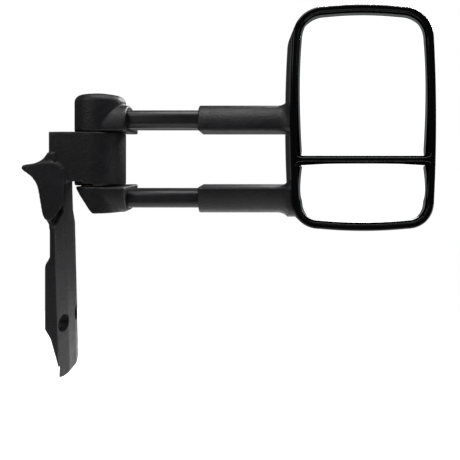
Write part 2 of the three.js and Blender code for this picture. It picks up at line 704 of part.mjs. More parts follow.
// The shell's outer or inner form: straight sides, a round edge and a sloping, domed front.
function shellForm(inset, fromY) {
  const wallSteps = 3;
  const roundSteps = 4;
  const frontSteps = 3;
  const steps = wallSteps + roundSteps + frontSteps;
  const round = SHELL_ROUND - inset;
  const frontY = HEAD_FRONT_Y - inset;
  const centreLeft = 0.12;
  const form = alongY(headShape(inset), 0, steps, steps);
  return warp(form, (p) => {
    let shrink = 0;
    let y = 0;
    if (p.y <= wallSteps) {
      y = fromY + ((frontY - round - fromY) * p.y) / wallSteps;
    } else if (p.y <= wallSteps + roundSteps) {
      const angle = (((p.y - wallSteps) / roundSteps) * Math.PI) / 2;
      y = frontY - round * (1 - Math.sin(angle));
      shrink = round * (1 - Math.cos(angle));
    } else {
      y = frontY;
      shrink = round;
    }
    const overFront = Math.max(p.y - wallSteps - roundSteps, 0) / frontSteps;
    const halfWidth = HEAD_WIDTH / 2 - inset;
    const halfHeight = HEAD_HEIGHT / 2 - inset;
    const left = 1 - overFront * (1 - centreLeft);
    p.x *= ((halfWidth - shrink) / halfWidth) * left;
    p.z *= ((halfHeight - shrink) / halfHeight) * left;
    const along = (y - fromY) / (frontY - fromY);
    p.y = y - frontDrop(p.x, p.z) * Math.max(along, 0);
    p.x += HEAD_X;
    p.z += HEAD_Z;
  });
}

const FRAME_HALF_HEIGHT = HEAD_HEIGHT / 2 - FRAME_MARGIN;
const FRAME_LEFT = TUNNEL_END + 4;
const FRAME_RIGHT = HEAD_X + HEAD_WIDTH / 2 - FRAME_MARGIN;
const BOSS_XS = [FRAME_LEFT + BOSS_RADIUS + 2, FRAME_RIGHT - BOSS_RADIUS - 2];
const BOSS_ZS = [-1, 1].map((side) => HEAD_Z + side * (FRAME_HALF_HEIGHT - BOSS_RADIUS - BOSS_MARGIN));
const BOSSES = BOSS_XS.flatMap((x) => BOSS_ZS.map((z) => [x, z]));
const FRAME_SCREW_LENGTH = 14;

const PAD_FROM = MOUTH_X + 24;
const FRICTION_LENGTH = 34;
const FRICTION_WIDTH = 14;
const FRICTION_DEPTH = 1.1;

// The recess for the friction pad, in the flat side of each sleeve's bore.
function frictionRecess() {
  const high = TUBE_SEAT;
  const low = TUBE_SEAT - BORE_OFFSET - FRICTION_DEPTH;
  return box(FRICTION_LENGTH, FRICTION_WIDTH, high - low, PAD_FROM + FRICTION_LENGTH / 2, TUBE_Y,
    (high + low) / 2);
}

function frictionPad(arm) {
  const high = TUBE_SEAT - RUNNING;
  const low = TUBE_SEAT - BORE_OFFSET - FRICTION_DEPTH + GAP;
  const length = FRICTION_LENGTH - GAP * 2;
  const pad = box(length, FRICTION_WIDTH - GAP * 2, high - low, PAD_FROM + FRICTION_LENGTH / 2, TUBE_Y,
    (high + low) / 2);
  return onArm(pad, arm);
}

// The rear shell, with a wing on each arm that is a sleeve outside the head and a fin over its front.
function rearShell() {
  const outer = shellForm(0, RIM_Y);
  const inner = shellForm(SHELL_WALL, RIM_Y - 1);
  const arms = [UPPER, LOWER];
  const wings = arms.map((arm) => onArm(alongX(wingShape(), MOUTH_X, HEAD_X + FIN_END), arm));
  const tunnels = arms.map((arm) =>
    onArm(alongX(tubeShape(BORE_OFFSET + TUNNEL_WALL), HEAD_SIDE_X - 2, TUNNEL_END), arm),
  );
  const bosses = BOSSES.map(([x, z]) =>
    rodY(BOSS_RADIUS, FRAME_Y + FRAME_THICKNESS + GAP, HEAD_FRONT_Y, x, z, 16),
  );
  const hollow = cut(join(outer, ...wings), inner);
  const posts = join(...bosses);
  const full = join(hollow, ...tunnels, common(posts, outer));
  const bores = arms.map((arm) =>
    onArm(alongX(tubeShape(BORE_OFFSET), MOUTH_X - 1, TUNNEL_END + 1), arm),
  );
  const screwHoles = BOSSES.map(([x, z]) =>
    rodY(SCREW_RADIUS + RUNNING, 0, FRAME_Y + FRAME_SCREW_LENGTH, x, z, SCREW_SIDES),
  );
  const recesses = arms.map((arm) => onArm(frictionRecess(), arm));
  return cut(full, ...bores, ...screwHoles, ...recesses);
}

function sleeveBush(arm) {
  const length = 18;
  const outer = alongX(tubeShape(BORE_OFFSET - RUNNING), MOUTH_X + GAP, MOUTH_X + length);
  const inner = alongX(tubeShape(RUNNING), MOUTH_X - 1, MOUTH_X + length + 1);
  return onArm(cut(outer, inner), arm);
}

// The bezel's openings, one above the divider bar and one below it, shrunk by an inset.
function openingShape(main, inset) {
  const half = OPENING_HALF_WIDTH - inset;
  const smallRound = 6;
  const topRadius = CORNER_TOP - BEZEL_BAND - inset;
  const bottomRadius = CORNER_BOTTOM - BEZEL_BAND - inset;
  const high = main ? OPENING_HALF_HEIGHT - inset : DIVIDER_BASE - inset;
  const low = main ? DIVIDER_TOP + inset : -OPENING_HALF_HEIGHT + inset;
  return crownedShape(-half, half, low, high, main ? topRadius : smallRound,
    main ? smallRound : bottomRadius, main ? 0 : CROWN);
}

function onHead(geometry) {
  return geometry.translate(HEAD_X, 0, HEAD_Z);
}

function bezel() {
  const bandEnd = HEAD_BACK_Y + BEZEL_DEPTH;
  const chamfer = 2.5;
  const band = alongY(headShape(0), HEAD_BACK_Y, bandEnd, 4);
  warp(band, (p) => {
    const fromFace = Math.max(1 - (p.y - HEAD_BACK_Y) / (chamfer * 1.1), 0);
    p.x *= 1 - (chamfer * fromFace) / (HEAD_WIDTH / 2);
    p.z *= 1 - (chamfer * fromFace) / (HEAD_HEIGHT / 2);
  });
  const skirtInset = SHELL_WALL + GAP;
  const skirt = alongY(headShape(skirtInset), bandEnd - 1, bandEnd + SKIRT_DEPTH);
  const body = join(onHead(band), onHead(skirt));
  const behind = alongY(headShape(skirtInset + SKIRT_WALL), HEAD_BACK_Y + DIVIDER_DEPTH, bandEnd + 20);
  const openings = [true, false].map((main) =>
    onHead(alongY(openingShape(main, 0), HEAD_BACK_Y - 1, bandEnd + 20)),
  );
  return cut(body, onHead(behind), ...openings);
}

// The plate that carries the adjusters, with a window in it above and below each one.
function innerFrame() {
  const width = FRAME_RIGHT - FRAME_LEFT;
  const middleX = (FRAME_LEFT + FRAME_RIGHT) / 2;
  const outline = roundedBox(middleX, HEAD_Z, width, FRAME_HALF_HEIGHT * 2, FRAME_ROUND);
  const plate = alongY(outline, FRAME_Y, FRAME_Y + FRAME_THICKNESS, 1, 4);
  const ribLength = (FRAME_HALF_HEIGHT - RIB_MARGIN) * 2;
  const ribs = [FRAME_LEFT + RIB_WIDTH / 2, FRAME_RIGHT - BOSS_RADIUS * 3].map((x) =>
    box(RIB_WIDTH, RIB_HEIGHT + 1, ribLength, x, FRAME_Y + (1 - RIB_HEIGHT) / 2, HEAD_Z),
  );
  const places = [...BOSSES, ...baseScrewPlaces(MAIN_V), ...baseScrewPlaces(SPOTTER_V)];
  const past = FRAME_Y + FRAME_THICKNESS + 1;
  const holes = places.map(([x, z]) =>
    rodY(SCREW_RADIUS + RUNNING, FRAME_Y - 1, past, x, z, SCREW_SIDES),
  );
  const windowOffset = BASE_RADIUS + WINDOW_HEIGHT / 2 + WINDOW_MARGIN;
  const windows = [-1, 1].map((side) => {
    const z = HEAD_Z + MAIN_V + side * windowOffset;
    const outline = roundedBox(middleX, z, WINDOW_WIDTH, WINDOW_HEIGHT, WINDOW_ROUND);
    return alongY(outline, FRAME_Y - 1, past);
  });
  return cut(join(plate, ...ribs), ...holes, ...windows);
}

function frameScrew(x, z) {
  const head = rodY(SCREW_HEAD_RADIUS, FRAME_Y - GAP - SCREW_HEAD_HEIGHT, FRAME_Y - GAP, x, z, 16);
  const tip = FRAME_Y + FRAME_SCREW_LENGTH - GAP;
  const shank = rodY(SCREW_RADIUS, FRAME_Y - GAP - 1, tip, x, z, SCREW_SIDES);
  return join(head, shank);
}

const BASE_X = HEAD_X;

// The two screws of an adjuster base, above and below its post.
function baseScrewPlaces(v) {
  const offset = BASE_RADIUS - SCREW_HEAD_RADIUS - 1;
  return [-1, 1].map((side) => [BASE_X, HEAD_Z + v + side * offset]);
}

// A post on a round flange, with two ears that hold the gimbal's X pins.
function adjusterBase(v) {
  const z = HEAD_Z + v;
  const flangeY = FRAME_Y - GAP;
  const flange = rodY(BASE_RADIUS, flangeY - BASE_FLANGE, flangeY, BASE_X, z, ROUND_SIDES);
  const forkY = GIMBAL_Y + GIMBAL_HUB;
  const width = GIMBAL_EAR_GAP + EAR_THICKNESS * 2;
  const post = box(width, flangeY - 1 - forkY, POST_HEIGHT, BASE_X, (forkY + flangeY - 1) / 2, z);
  const earStart = GIMBAL_Y - EAR_WIDTH / 2;
  const ears = [-1, 1].map((side) =>
    box(EAR_THICKNESS, forkY + 2 - earStart, EAR_WIDTH,
      BASE_X + (side * (GIMBAL_EAR_GAP + EAR_THICKNESS)) / 2, (earStart + forkY + 2) / 2, z),
  );
  const pinBore = GIMBAL_PIN_RADIUS + PIN_CLEARANCE;
  const bore = rodX(pinBore, BASE_X - width, BASE_X + width, GIMBAL_Y, z, ROUND_SIDES);
  const screwHoles = baseScrewPlaces(v).map(([x, screwZ]) =>
    rodY(SCREW_RADIUS + RUNNING, flangeY - BASE_FLANGE - 1, flangeY + 1, x, screwZ, SCREW_SIDES),
  );
  return cut(join(flange, post, ...ears), bore, ...screwHoles);
}

function baseScrew(x, z) {
  const seatY = FRAME_Y - GAP - BASE_FLANGE - GAP;
  const head = rodY(SCREW_HEAD_RADIUS, seatY - SCREW_HEAD_HEIGHT, seatY, x, z, 16);
  const shank = rodY(SCREW_RADIUS, seatY - 1, FRAME_Y + FRAME_THICKNESS + 3, x, z, SCREW_SIDES);
  return join(head, shank);
}

// ---- Mirrors ----

// A hub with four pins, two along X in the base and two along Z in the carrier.
function gimbalCross(v) {
  const z = HEAD_Z + v;
  const reachX = GIMBAL_EAR_GAP / 2 + EAR_THICKNESS;
  const reachZ = CARRIER_EAR_GAP / 2 + EAR_THICKNESS;
  const hub = box(GIMBAL_HUB, GIMBAL_HUB, GIMBAL_HUB, BASE_X, GIMBAL_Y, z);
  const pinX = rodX(GIMBAL_PIN_RADIUS, BASE_X - reachX, BASE_X + reachX, GIMBAL_Y, z, ROUND_SIDES);
  const pinZ = rodZ(GIMBAL_PIN_RADIUS, z - reachZ, z + reachZ, BASE_X, GIMBAL_Y, ROUND_SIDES);
  return join(hub, pinX, pinZ);
}

// The plate behind a glass, with a rim rib and two ears that turn on the gimbal's Z pins.
function glassCarrier(main) {
  const v = main ? MAIN_V : SPOTTER_V;
  const z = HEAD_Z + v;
  const backY = CARRIER_Y + CARRIER_THICKNESS;
  const plate = onHead(alongY(openingShape(main, GLASS_GAP + CARRIER_INSET), CARRIER_Y, backY));
  const earEnd = GIMBAL_Y + EAR_WIDTH / 2;
  const ears = [-1, 1].map((side) =>
    box(EAR_WIDTH, earEnd - backY + 1, EAR_THICKNESS, BASE_X, (earEnd + backY - 1) / 2,
      z + (side * (CARRIER_EAR_GAP + EAR_THICKNESS)) / 2),
  );
  const ribReach = (OPENING_HALF_WIDTH - RIB_MARGIN) * 2;
  const ribs = [-1, 1].map((side) =>
    box(ribReach, RIB_WIDTH, CARRIER_RIB, BASE_X, backY + CARRIER_RIB / 2 - 1, z + side * CARRIER_EAR_GAP),
  );
  const pinBore = GIMBAL_PIN_RADIUS + PIN_CLEARANCE;
  const reach = CARRIER_EAR_GAP;
  const bore = rodZ(pinBore, z - reach, z + reach, BASE_X, GIMBAL_Y, ROUND_SIDES);
  return cut(join(plate, ...ears, ...ribs), bore);
}

function mainGlass() {
  return onHead(alongY(openingShape(true, GLASS_GAP), GLASS_Y, GLASS_Y + GLASS_THICKNESS));
}

// The spotter's face bulges towards the driver; its back stays flat on the carrier.
function spotterGlass() {
  const bulgeSteps = 3;
  const glass = alongY(openingShape(false, GLASS_GAP), 0, bulgeSteps, bulgeSteps);
  const halfWidth = OPENING_HALF_WIDTH - GLASS_GAP;
  warp(glass, (p) => {
    const inwards = (bulgeSteps - p.y) / bulgeSteps;
    const shrink = p.y >= bulgeSteps ? 1 : 1 - (inwards * 2 - 2 / bulgeSteps) * 0.25;
    p.x *= shrink;
    p.z = SPOTTER_V + (p.z - SPOTTER_V) * shrink;
    const across = 1 - (p.x / halfWidth) ** 2;
    const proud = p.y >= bulgeSteps ? -GLASS_THICKNESS : SPOTTER_BULGE * across * (inwards > 0.5 ? 1 : 0.5);
    p.y = GLASS_Y - proud;
  });
  return onHead(glass);
}

// ---- Assembly ----

const mirror = new THREE.Group();
mirror.name = "towing_mirror";

function add(name, geometry, material) {
  const mesh = new THREE.Mesh(geometry, material());
  mesh.name = name;
  mirror.add(mesh);
}

add("door_bracket", doorBracket(), TEXTURED_BLACK);
add("upper_knuckle_bush", upperBush(), ACETAL);
add("lower_knuckle_bush", lowerBush(), ACETAL);
add("upper_friction_washer", frictionWasher(true), FRICTION_FELT);
add("lower_friction_washer", frictionWasher(false), FRICTION_FELT);

add("upper_pivot_cap", upperPivotCap(), TEXTURED_BLACK);
add("lower_pivot_cap", lowerPivotCap(), TEXTURED_BLACK);
add("pivot_shaft", pivotShaft(), ZINC_STEEL);
add("fold_spring", foldSpring(), SPRING_STEEL);
add("spring_washer", springWasher(), ZINC_STEEL);
add("pivot_lock_nut", lockNut(), ZINC_STEEL);

for (const arm of [UPPER, LOWER]) {
  add(arm.name + "_shaft_set_screw", setScrew(arm), ZINC_STEEL);
  add(arm.name + "_tube", tube(arm), TUBE_BLACK);
  add(arm.name + "_tube_glide", tubeGlide(arm), ACETAL);
  TUBE_SCREW_YS.forEach((y, i) => {
    add(arm.name + "_tube_screw_" + (i + 1), tubeScrew(arm, y), ZINC_STEEL);
  });
  add(arm.name + "_sleeve_bush", sleeveBush(arm), SATIN_BLACK);
  add(arm.name + "_friction_pad", frictionPad(arm), FRICTION_FELT);
}

add("rear_shell", rearShell(), TEXTURED_BLACK);
add("bezel", bezel(), GLOSS_BLACK);
add("inner_frame", innerFrame(), INNER_PLASTIC);
BOSSES.forEach(([x, z], i) => {
  add("inner_frame_screw_" + (i + 1), frameScrew(x, z), ZINC_STEEL);
});

for (const [name, v, main] of [["main", MAIN_V, true], ["spotter", SPOTTER_V, false]]) {
  add(name + "_adjuster_base", adjusterBase(v), INNER_PLASTIC);
  baseScrewPlaces(v).forEach(([x, z], i) => {
    add(name + "_base_screw_" + (i + 1), baseScrew(x, z), ZINC_STEEL);
  });
  add(name + "_gimbal_cross", gimbalCross(v), ACETAL);
  add(name + "_glass_carrier", glassCarrier(main), INNER_PLASTIC);
}
add("main_glass", mainGlass(), MIRROR_GLASS);
add("spotter_glass", spotterGlass(), MIRROR_GLASS);

export default mirror;
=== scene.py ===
"""The looks of an extendable towing mirror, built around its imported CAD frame.

Every shape is worked out in millimetres with numpy and put into its mesh in metres, in the
frame's own axes: +X outboard along the arms, +Y forward, +Z up. Places come from the frame's
boxes, so the looks sit where the CAD pieces are.
"""

from __future__ import annotations

import json
import logging
import math
from dataclasses import dataclass, field
from enum import Enum
from typing import Any, Sequence

import bpy
import numpy as np
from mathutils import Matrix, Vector

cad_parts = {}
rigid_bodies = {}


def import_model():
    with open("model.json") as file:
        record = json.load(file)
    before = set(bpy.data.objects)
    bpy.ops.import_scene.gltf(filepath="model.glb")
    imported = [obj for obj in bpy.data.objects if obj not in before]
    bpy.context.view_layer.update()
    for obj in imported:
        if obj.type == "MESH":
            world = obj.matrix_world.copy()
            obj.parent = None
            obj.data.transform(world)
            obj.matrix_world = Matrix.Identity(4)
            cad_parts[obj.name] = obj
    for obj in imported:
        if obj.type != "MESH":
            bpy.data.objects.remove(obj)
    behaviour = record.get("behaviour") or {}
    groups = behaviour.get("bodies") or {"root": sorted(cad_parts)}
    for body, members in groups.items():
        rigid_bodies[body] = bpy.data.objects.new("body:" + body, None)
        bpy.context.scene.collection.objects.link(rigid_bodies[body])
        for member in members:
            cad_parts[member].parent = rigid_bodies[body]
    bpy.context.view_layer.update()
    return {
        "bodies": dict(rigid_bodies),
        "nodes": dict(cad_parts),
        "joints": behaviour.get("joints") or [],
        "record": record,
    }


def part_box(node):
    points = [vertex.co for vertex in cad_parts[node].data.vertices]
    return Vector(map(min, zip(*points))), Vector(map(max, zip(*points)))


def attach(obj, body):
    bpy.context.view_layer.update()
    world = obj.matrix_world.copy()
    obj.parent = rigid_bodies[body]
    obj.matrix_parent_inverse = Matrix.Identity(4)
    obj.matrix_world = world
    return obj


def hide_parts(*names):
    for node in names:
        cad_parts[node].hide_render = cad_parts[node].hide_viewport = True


LOG = logging.getLogger("towing_mirror")
MM = 0.001
SHARP_DEGREES = 38.0
BOOLEAN_SOLVER = "MANIFOLD"
TINY_HOLE = 0.4  # a turned body's rings stop this far from its axis and are closed by fans
GLASS_PANES = ("main_mirror_pane", "spotter_mirror_pane")


# ---------------------------------------------------------------------------------------------
# Sections and surfaces
# ---------------------------------------------------------------------------------------------


class Ends(Enum):
    """How the two ends of a row of rings are closed."""

    FANS = "fans"
    LOOP = "loop"


class Join(Enum):
    """The ways two solids are put together."""

    UNION = "UNION"
    DIFFERENCE = "DIFFERENCE"
    INTERSECT = "INTERSECT"


class Arm(Enum):
    """The two arms. The value is the way from the flat face to the ridge, up or down."""

    UPPER = 1
    LOWER = -1

    @property
    def label(self) -> str:
        """The word that the arm's pieces are named with."""
        return self.name.lower()


@dataclass
class Surface:
    """A closed surface in millimetres: vertices, and the quads and triangles that join them."""

    verts: np.ndarray
    quads: np.ndarray
    tris: np.ndarray

    def volume(self) -> float:
        """The signed volume: six times a sum over the triangles of their corners' triple product."""
        tris = np.vstack([self.tris, self.quads[:, [0, 1, 2]], self.quads[:, [0, 2, 3]]])
        a, b, c = (self.verts[tris[:, k]] for k in range(3))
        return float(np.einsum("ij,ij->i", a, np.cross(b, c)).sum() / 6.0)

    def outward(self) -> Surface:
        """The same surface with its faces pointing out."""
        if self.volume() >= 0.0:
            return self
        return Surface(self.verts, self.quads[:, ::-1], self.tris[:, ::-1])


def bezier(points: Sequence[tuple[float, float]], count: int) -> np.ndarray:
    """A Bezier curve of any degree, by Bernstein weights, without its last point.

    Args:
        points: the control points.
        count: how many points to give.

    Returns:
        An array of shape (count, 2).
    """
    degree = len(points) - 1
    t = (np.arange(count) / count)[:, None]
    k = np.arange(degree + 1)
    choose = np.array([math.comb(degree, int(i)) for i in k])
    weights = choose * t**k * (1.0 - t) ** (degree - k)
    return weights @ np.asarray(points, float)


def line(start: tuple[float, float], end: tuple[float, float], count: int) -> np.ndarray:
    """Evenly spaced points from start towards end, without the end."""
    return bezier([start, end], count)


def arc(centre: tuple[float, float], radius: float, degrees: tuple[float, float], count: int) -> np.ndarray:
    """Points on an arc: centre plus radius times the cosine and sine, without the last point."""
    angles = np.radians(np.linspace(degrees[0], degrees[1], count, endpoint=False))
    return np.asarray(centre) + radius * np.column_stack([np.cos(angles), np.sin(angles)])


def resample(points: np.ndarray, count: int) -> np.ndarray:
    """Spreads points evenly by length along a closed outline."""
    loop = np.vstack([points, points[:1]])
    length = np.concatenate([[0.0], np.cumsum(np.linalg.norm(np.diff(loop, axis=0), axis=1))])
    at = np.linspace(0.0, length[-1], count, endpoint=False)
    return np.column_stack([np.interp(at, length, loop[:, k]) for k in range(2)])


def normals(points: np.ndarray) -> np.ndarray:
    """Outward unit normals of an anticlockwise closed outline, from the chord across each point."""
    chord = np.roll(points, -1, axis=0) - np.roll(points, 1, axis=0)
    normal = np.column_stack([chord[:, 1], -chord[:, 0]])
    return normal / np.maximum(np.linalg.norm(normal, axis=1, keepdims=True), 1e-9)


def rounded_rectangle(
    centre: tuple[float, float], size: tuple[float, float], radius: float, corner: int = 16, side: int = 6
) -> np.ndarray:
    """A rectangle with round corners, anticlockwise, with the same count of points at any size."""
    (x, y), (w, h) = centre, (size[0] / 2 - radius, size[1] / 2 - radius)
    turns = [(w, -h, -90), (w, h, 0), (-w, h, 90), (-w, -h, 180)]
    parts = []
    for index, (cx, cy, start) in enumerate(turns):
        parts.append(arc((x + cx, y + cy), radius, (start, start + 90), corner))
        nx, ny, _ = turns[(index + 1) % 4]
        angle = math.radians(start + 90)
        away = radius * np.array([math.cos(angle), math.sin(angle)])
        parts.append(line((x + cx, y + cy) + away, (x + nx, y + ny) + away, side))
    return np.vstack(parts)


def rings_surface(rings: np.ndarray, ends: Ends = Ends.FANS) -> Surface:
    """Joins rings of points into a closed surface.

    Args:
        rings: an array of shape (rings, points, 3).
        ends: FANS closes each end with triangles to its middle; LOOP joins the last ring to the first.

    Returns:
        The surface, with its faces pointing out.
    """
    count, around = rings.shape[:2]
    index = np.arange(count * around).reshape(count, around)
    rows = index if ends is Ends.LOOP else index[:-1]
    after = np.roll(index, -1, axis=0)[: len(rows)]
    quads = np.stack(
        [rows, np.roll(rows, -1, axis=1), np.roll(after, -1, axis=1), after], axis=-1
    ).reshape(-1, 4)
    verts = rings.reshape(-1, 3)
    if ends is Ends.LOOP:
        return Surface(verts, quads, np.zeros((0, 3), int)).outward()
    centres = np.stack([rings[0].mean(axis=0), rings[-1].mean(axis=0)])
    first, last = index[0], index[-1]
    low = np.column_stack([np.roll(first, -1), first, np.full(around, count * around)])
    high = np.column_stack([last, np.roll(last, -1), np.full(around, count * around + 1)])
    return Surface(np.vstack([verts, centres]), quads, np.vstack([low, high])).outward()


def along_x(sections: np.ndarray, xs: np.ndarray) -> np.ndarray:
    """Rings from sections in y and z, one for each x. One section is repeated along every x."""
    sections = np.broadcast_to(sections, (len(xs),) + sections.shape[-2:])
    x = np.broadcast_to(xs[:, None], sections.shape[:2])
    return np.dstack([x, sections[..., 0], sections[..., 1]])


def along_y(sections: np.ndarray, ys: np.ndarray) -> np.ndarray:
    """Rings from sections in x and z, one for each y. One section is repeated along every y."""
    sections = np.broadcast_to(sections, (len(ys),) + sections.shape[-2:])
    y = np.broadcast_to(ys[:, None], sections.shape[:2])
    return np.dstack([sections[..., 0], y, sections[..., 1]])


def along_z(sections: np.ndarray, zs: np.ndarray) -> np.ndarray:
    """Rings from sections in x and y, one for each z. One section is repeated along every z."""
    sections = np.broadcast_to(sections, (len(zs),) + sections.shape[-2:])
    z = np.broadcast_to(zs[:, None], sections.shape[:2])
    return np.dstack([sections[..., 0], sections[..., 1], z])


def turned(profile: np.ndarray, around: int = 96) -> np.ndarray:
    """Rings of a body of revolution about the vertical: each [radius, height] swept by an angle."""
    angle = np.linspace(0.0, 2.0 * math.pi, around, endpoint=False)
    radius, height = profile[:, 0, None], profile[:, 1, None]
    x = radius * np.cos(angle)
    y = radius * np.sin(angle)
    return np.dstack([x, y, np.broadcast_to(height, x.shape)])


# ---------------------------------------------------------------------------------------------
# Meshes
# ---------------------------------------------------------------------------------------------


def shade(mesh: bpy.types.Mesh, degrees: float = SHARP_DEGREES) -> None:
    """Smooth shading, with an edge sharp where its faces meet at more than an angle."""
    mesh.polygons.foreach_set("use_smooth", np.ones(len(mesh.polygons), bool))
    mesh.set_sharp_from_angle(angle=math.radians(degrees))
    mesh.update()


def make_piece(name: str, surface: Surface, degrees: float = SHARP_DEGREES) -> bpy.types.Object:
    """Puts a surface into a mesh in metres.

    Args:
        name: the piece's name.
        surface: its surface in millimetres.
        degrees: edges sharper than this stay sharp in the shading.

    Returns:
        The new object, at the origin.
    """
    mesh = bpy.data.meshes.new(name)
    verts = np.ascontiguousarray(surface.verts * MM, np.float32)
    loops = np.concatenate([surface.quads.ravel(), surface.tris.ravel()]).astype(np.int32)
    totals = np.concatenate([np.full(len(surface.quads), 4), np.full(len(surface.tris), 3)])
    starts = np.concatenate([[0], np.cumsum(totals)[:-1]]).astype(np.int32)
    mesh.vertices.add(len(verts))
    mesh.vertices.foreach_set("co", verts.ravel())
    mesh.loops.add(len(loops))
    mesh.loops.foreach_set("vertex_index", loops)
    mesh.polygons.add(len(totals))
    mesh.polygons.foreach_set("loop_start", starts)
    mesh.update(calc_edges=True)
    mesh.validate()
    shade(mesh, degrees)
    piece = bpy.data.objects.new(name, mesh)
    bpy.context.scene.collection.objects.link(piece)
    return piece


def discard(piece: bpy.types.Object) -> None:
    """Removes an object and its mesh."""
    mesh = piece.data
    bpy.data.objects.remove(piece)
    bpy.data.meshes.remove(mesh)


def settle(piece: bpy.types.Object, degrees: float = SHARP_DEGREES) -> None:
    """Applies a piece's modifiers to its mesh and shades the result."""
    bpy.context.view_layer.update()
    graph = bpy.context.evaluated_depsgraph_get()
    mesh = bpy.data.meshes.new_from_object(piece.evaluated_get(graph))
    old = piece.data
    piece.modifiers.clear()
    piece.data = mesh
    mesh.name = piece.name
    bpy.data.meshes.remove(old)
    shade(mesh, degrees)


def combine(piece: bpy.types.Object, surfaces: Sequence[Surface], how: Join) -> None:
    """Joins, cuts or crosses a piece with closed surfaces, one after the other.

    Args:
        piece: the object that is changed.
        surfaces: the tools, in millimetres.
        how: what each tool does to the piece.
    """
    tools = []
    for surface in surfaces:
        tool = make_piece("tool", surface)
        modifier = piece.modifiers.new("boolean", "BOOLEAN")
        modifier.operation = how.value
        modifier.object = tool
        modifier.solver = BOOLEAN_SOLVER
        tools.append(tool)
    settle(piece)
    for tool in tools:
        discard(tool)


def soften(piece: bpy.types.Object, voxel: float, rounds: int) -> None:
    """Gives a piece the soft edges of a moulding: an even mesh of small cells, then smoothing.

    Args:
        piece: the object that is changed.
        voxel: cell size in millimetres.
        rounds: how many times each vertex is moved towards its neighbours.
    """
    remesh = piece.modifiers.new("cells", "REMESH")
    remesh.mode = "VOXEL"
    remesh.voxel_size = voxel * MM
    smooth = piece.modifiers.new("smooth", "SMOOTH")
    smooth.factor = 0.5
    smooth.iterations = rounds
    settle(piece)


def finish_piece(
    piece: bpy.types.Object, body: str, material: bpy.types.Material, replaces: Sequence[str]
) -> None:
    """Dresses a piece, sets it on its body and hides the CAD nodes that it stands for."""
    piece.data.materials.clear()
    piece.data.materials.append(material)
    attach(piece, body)
    if replaces:
        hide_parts(*replaces)
    LOG.info("%s: %d faces on %s", piece.name, len(piece.data.polygons), body)


# ---------------------------------------------------------------------------------------------
# Finishes
# ---------------------------------------------------------------------------------------------


def linear(colour: str) -> tuple[float, float, float, float]:
    """Turns an sRGB hex colour to linear light, by the sRGB curve."""
    channels = [int(colour[k : k + 2], 16) / 255.0 for k in (1, 3, 5)]
    light = [c / 12.92 if c <= 0.04045 else ((c + 0.055) / 1.055) ** 2.4 for c in channels]
    return (light[0], light[1], light[2], 1.0)


def add_node(
    tree: bpy.types.NodeTree, kind: str, links: dict[str, Any] | None = None, **settings: Any
) -> Any:
    """Adds a node.

    Args:
        tree: the node tree.
        kind: the node's type, without the ShaderNode in front of it.
        links: input names or numbers, each with the output socket or the value that it takes.
        settings: the node's own properties.

    Returns:
        The node.
    """
    node = tree.nodes.new("ShaderNode" + kind)
    for key, value in settings.items():
        setattr(node, key, value)
    for key, value in (links or {}).items():
        if isinstance(value, bpy.types.NodeSocket):
            tree.links.new(value, node.inputs[key])
        else:
            node.inputs[key].default_value = value
    return node


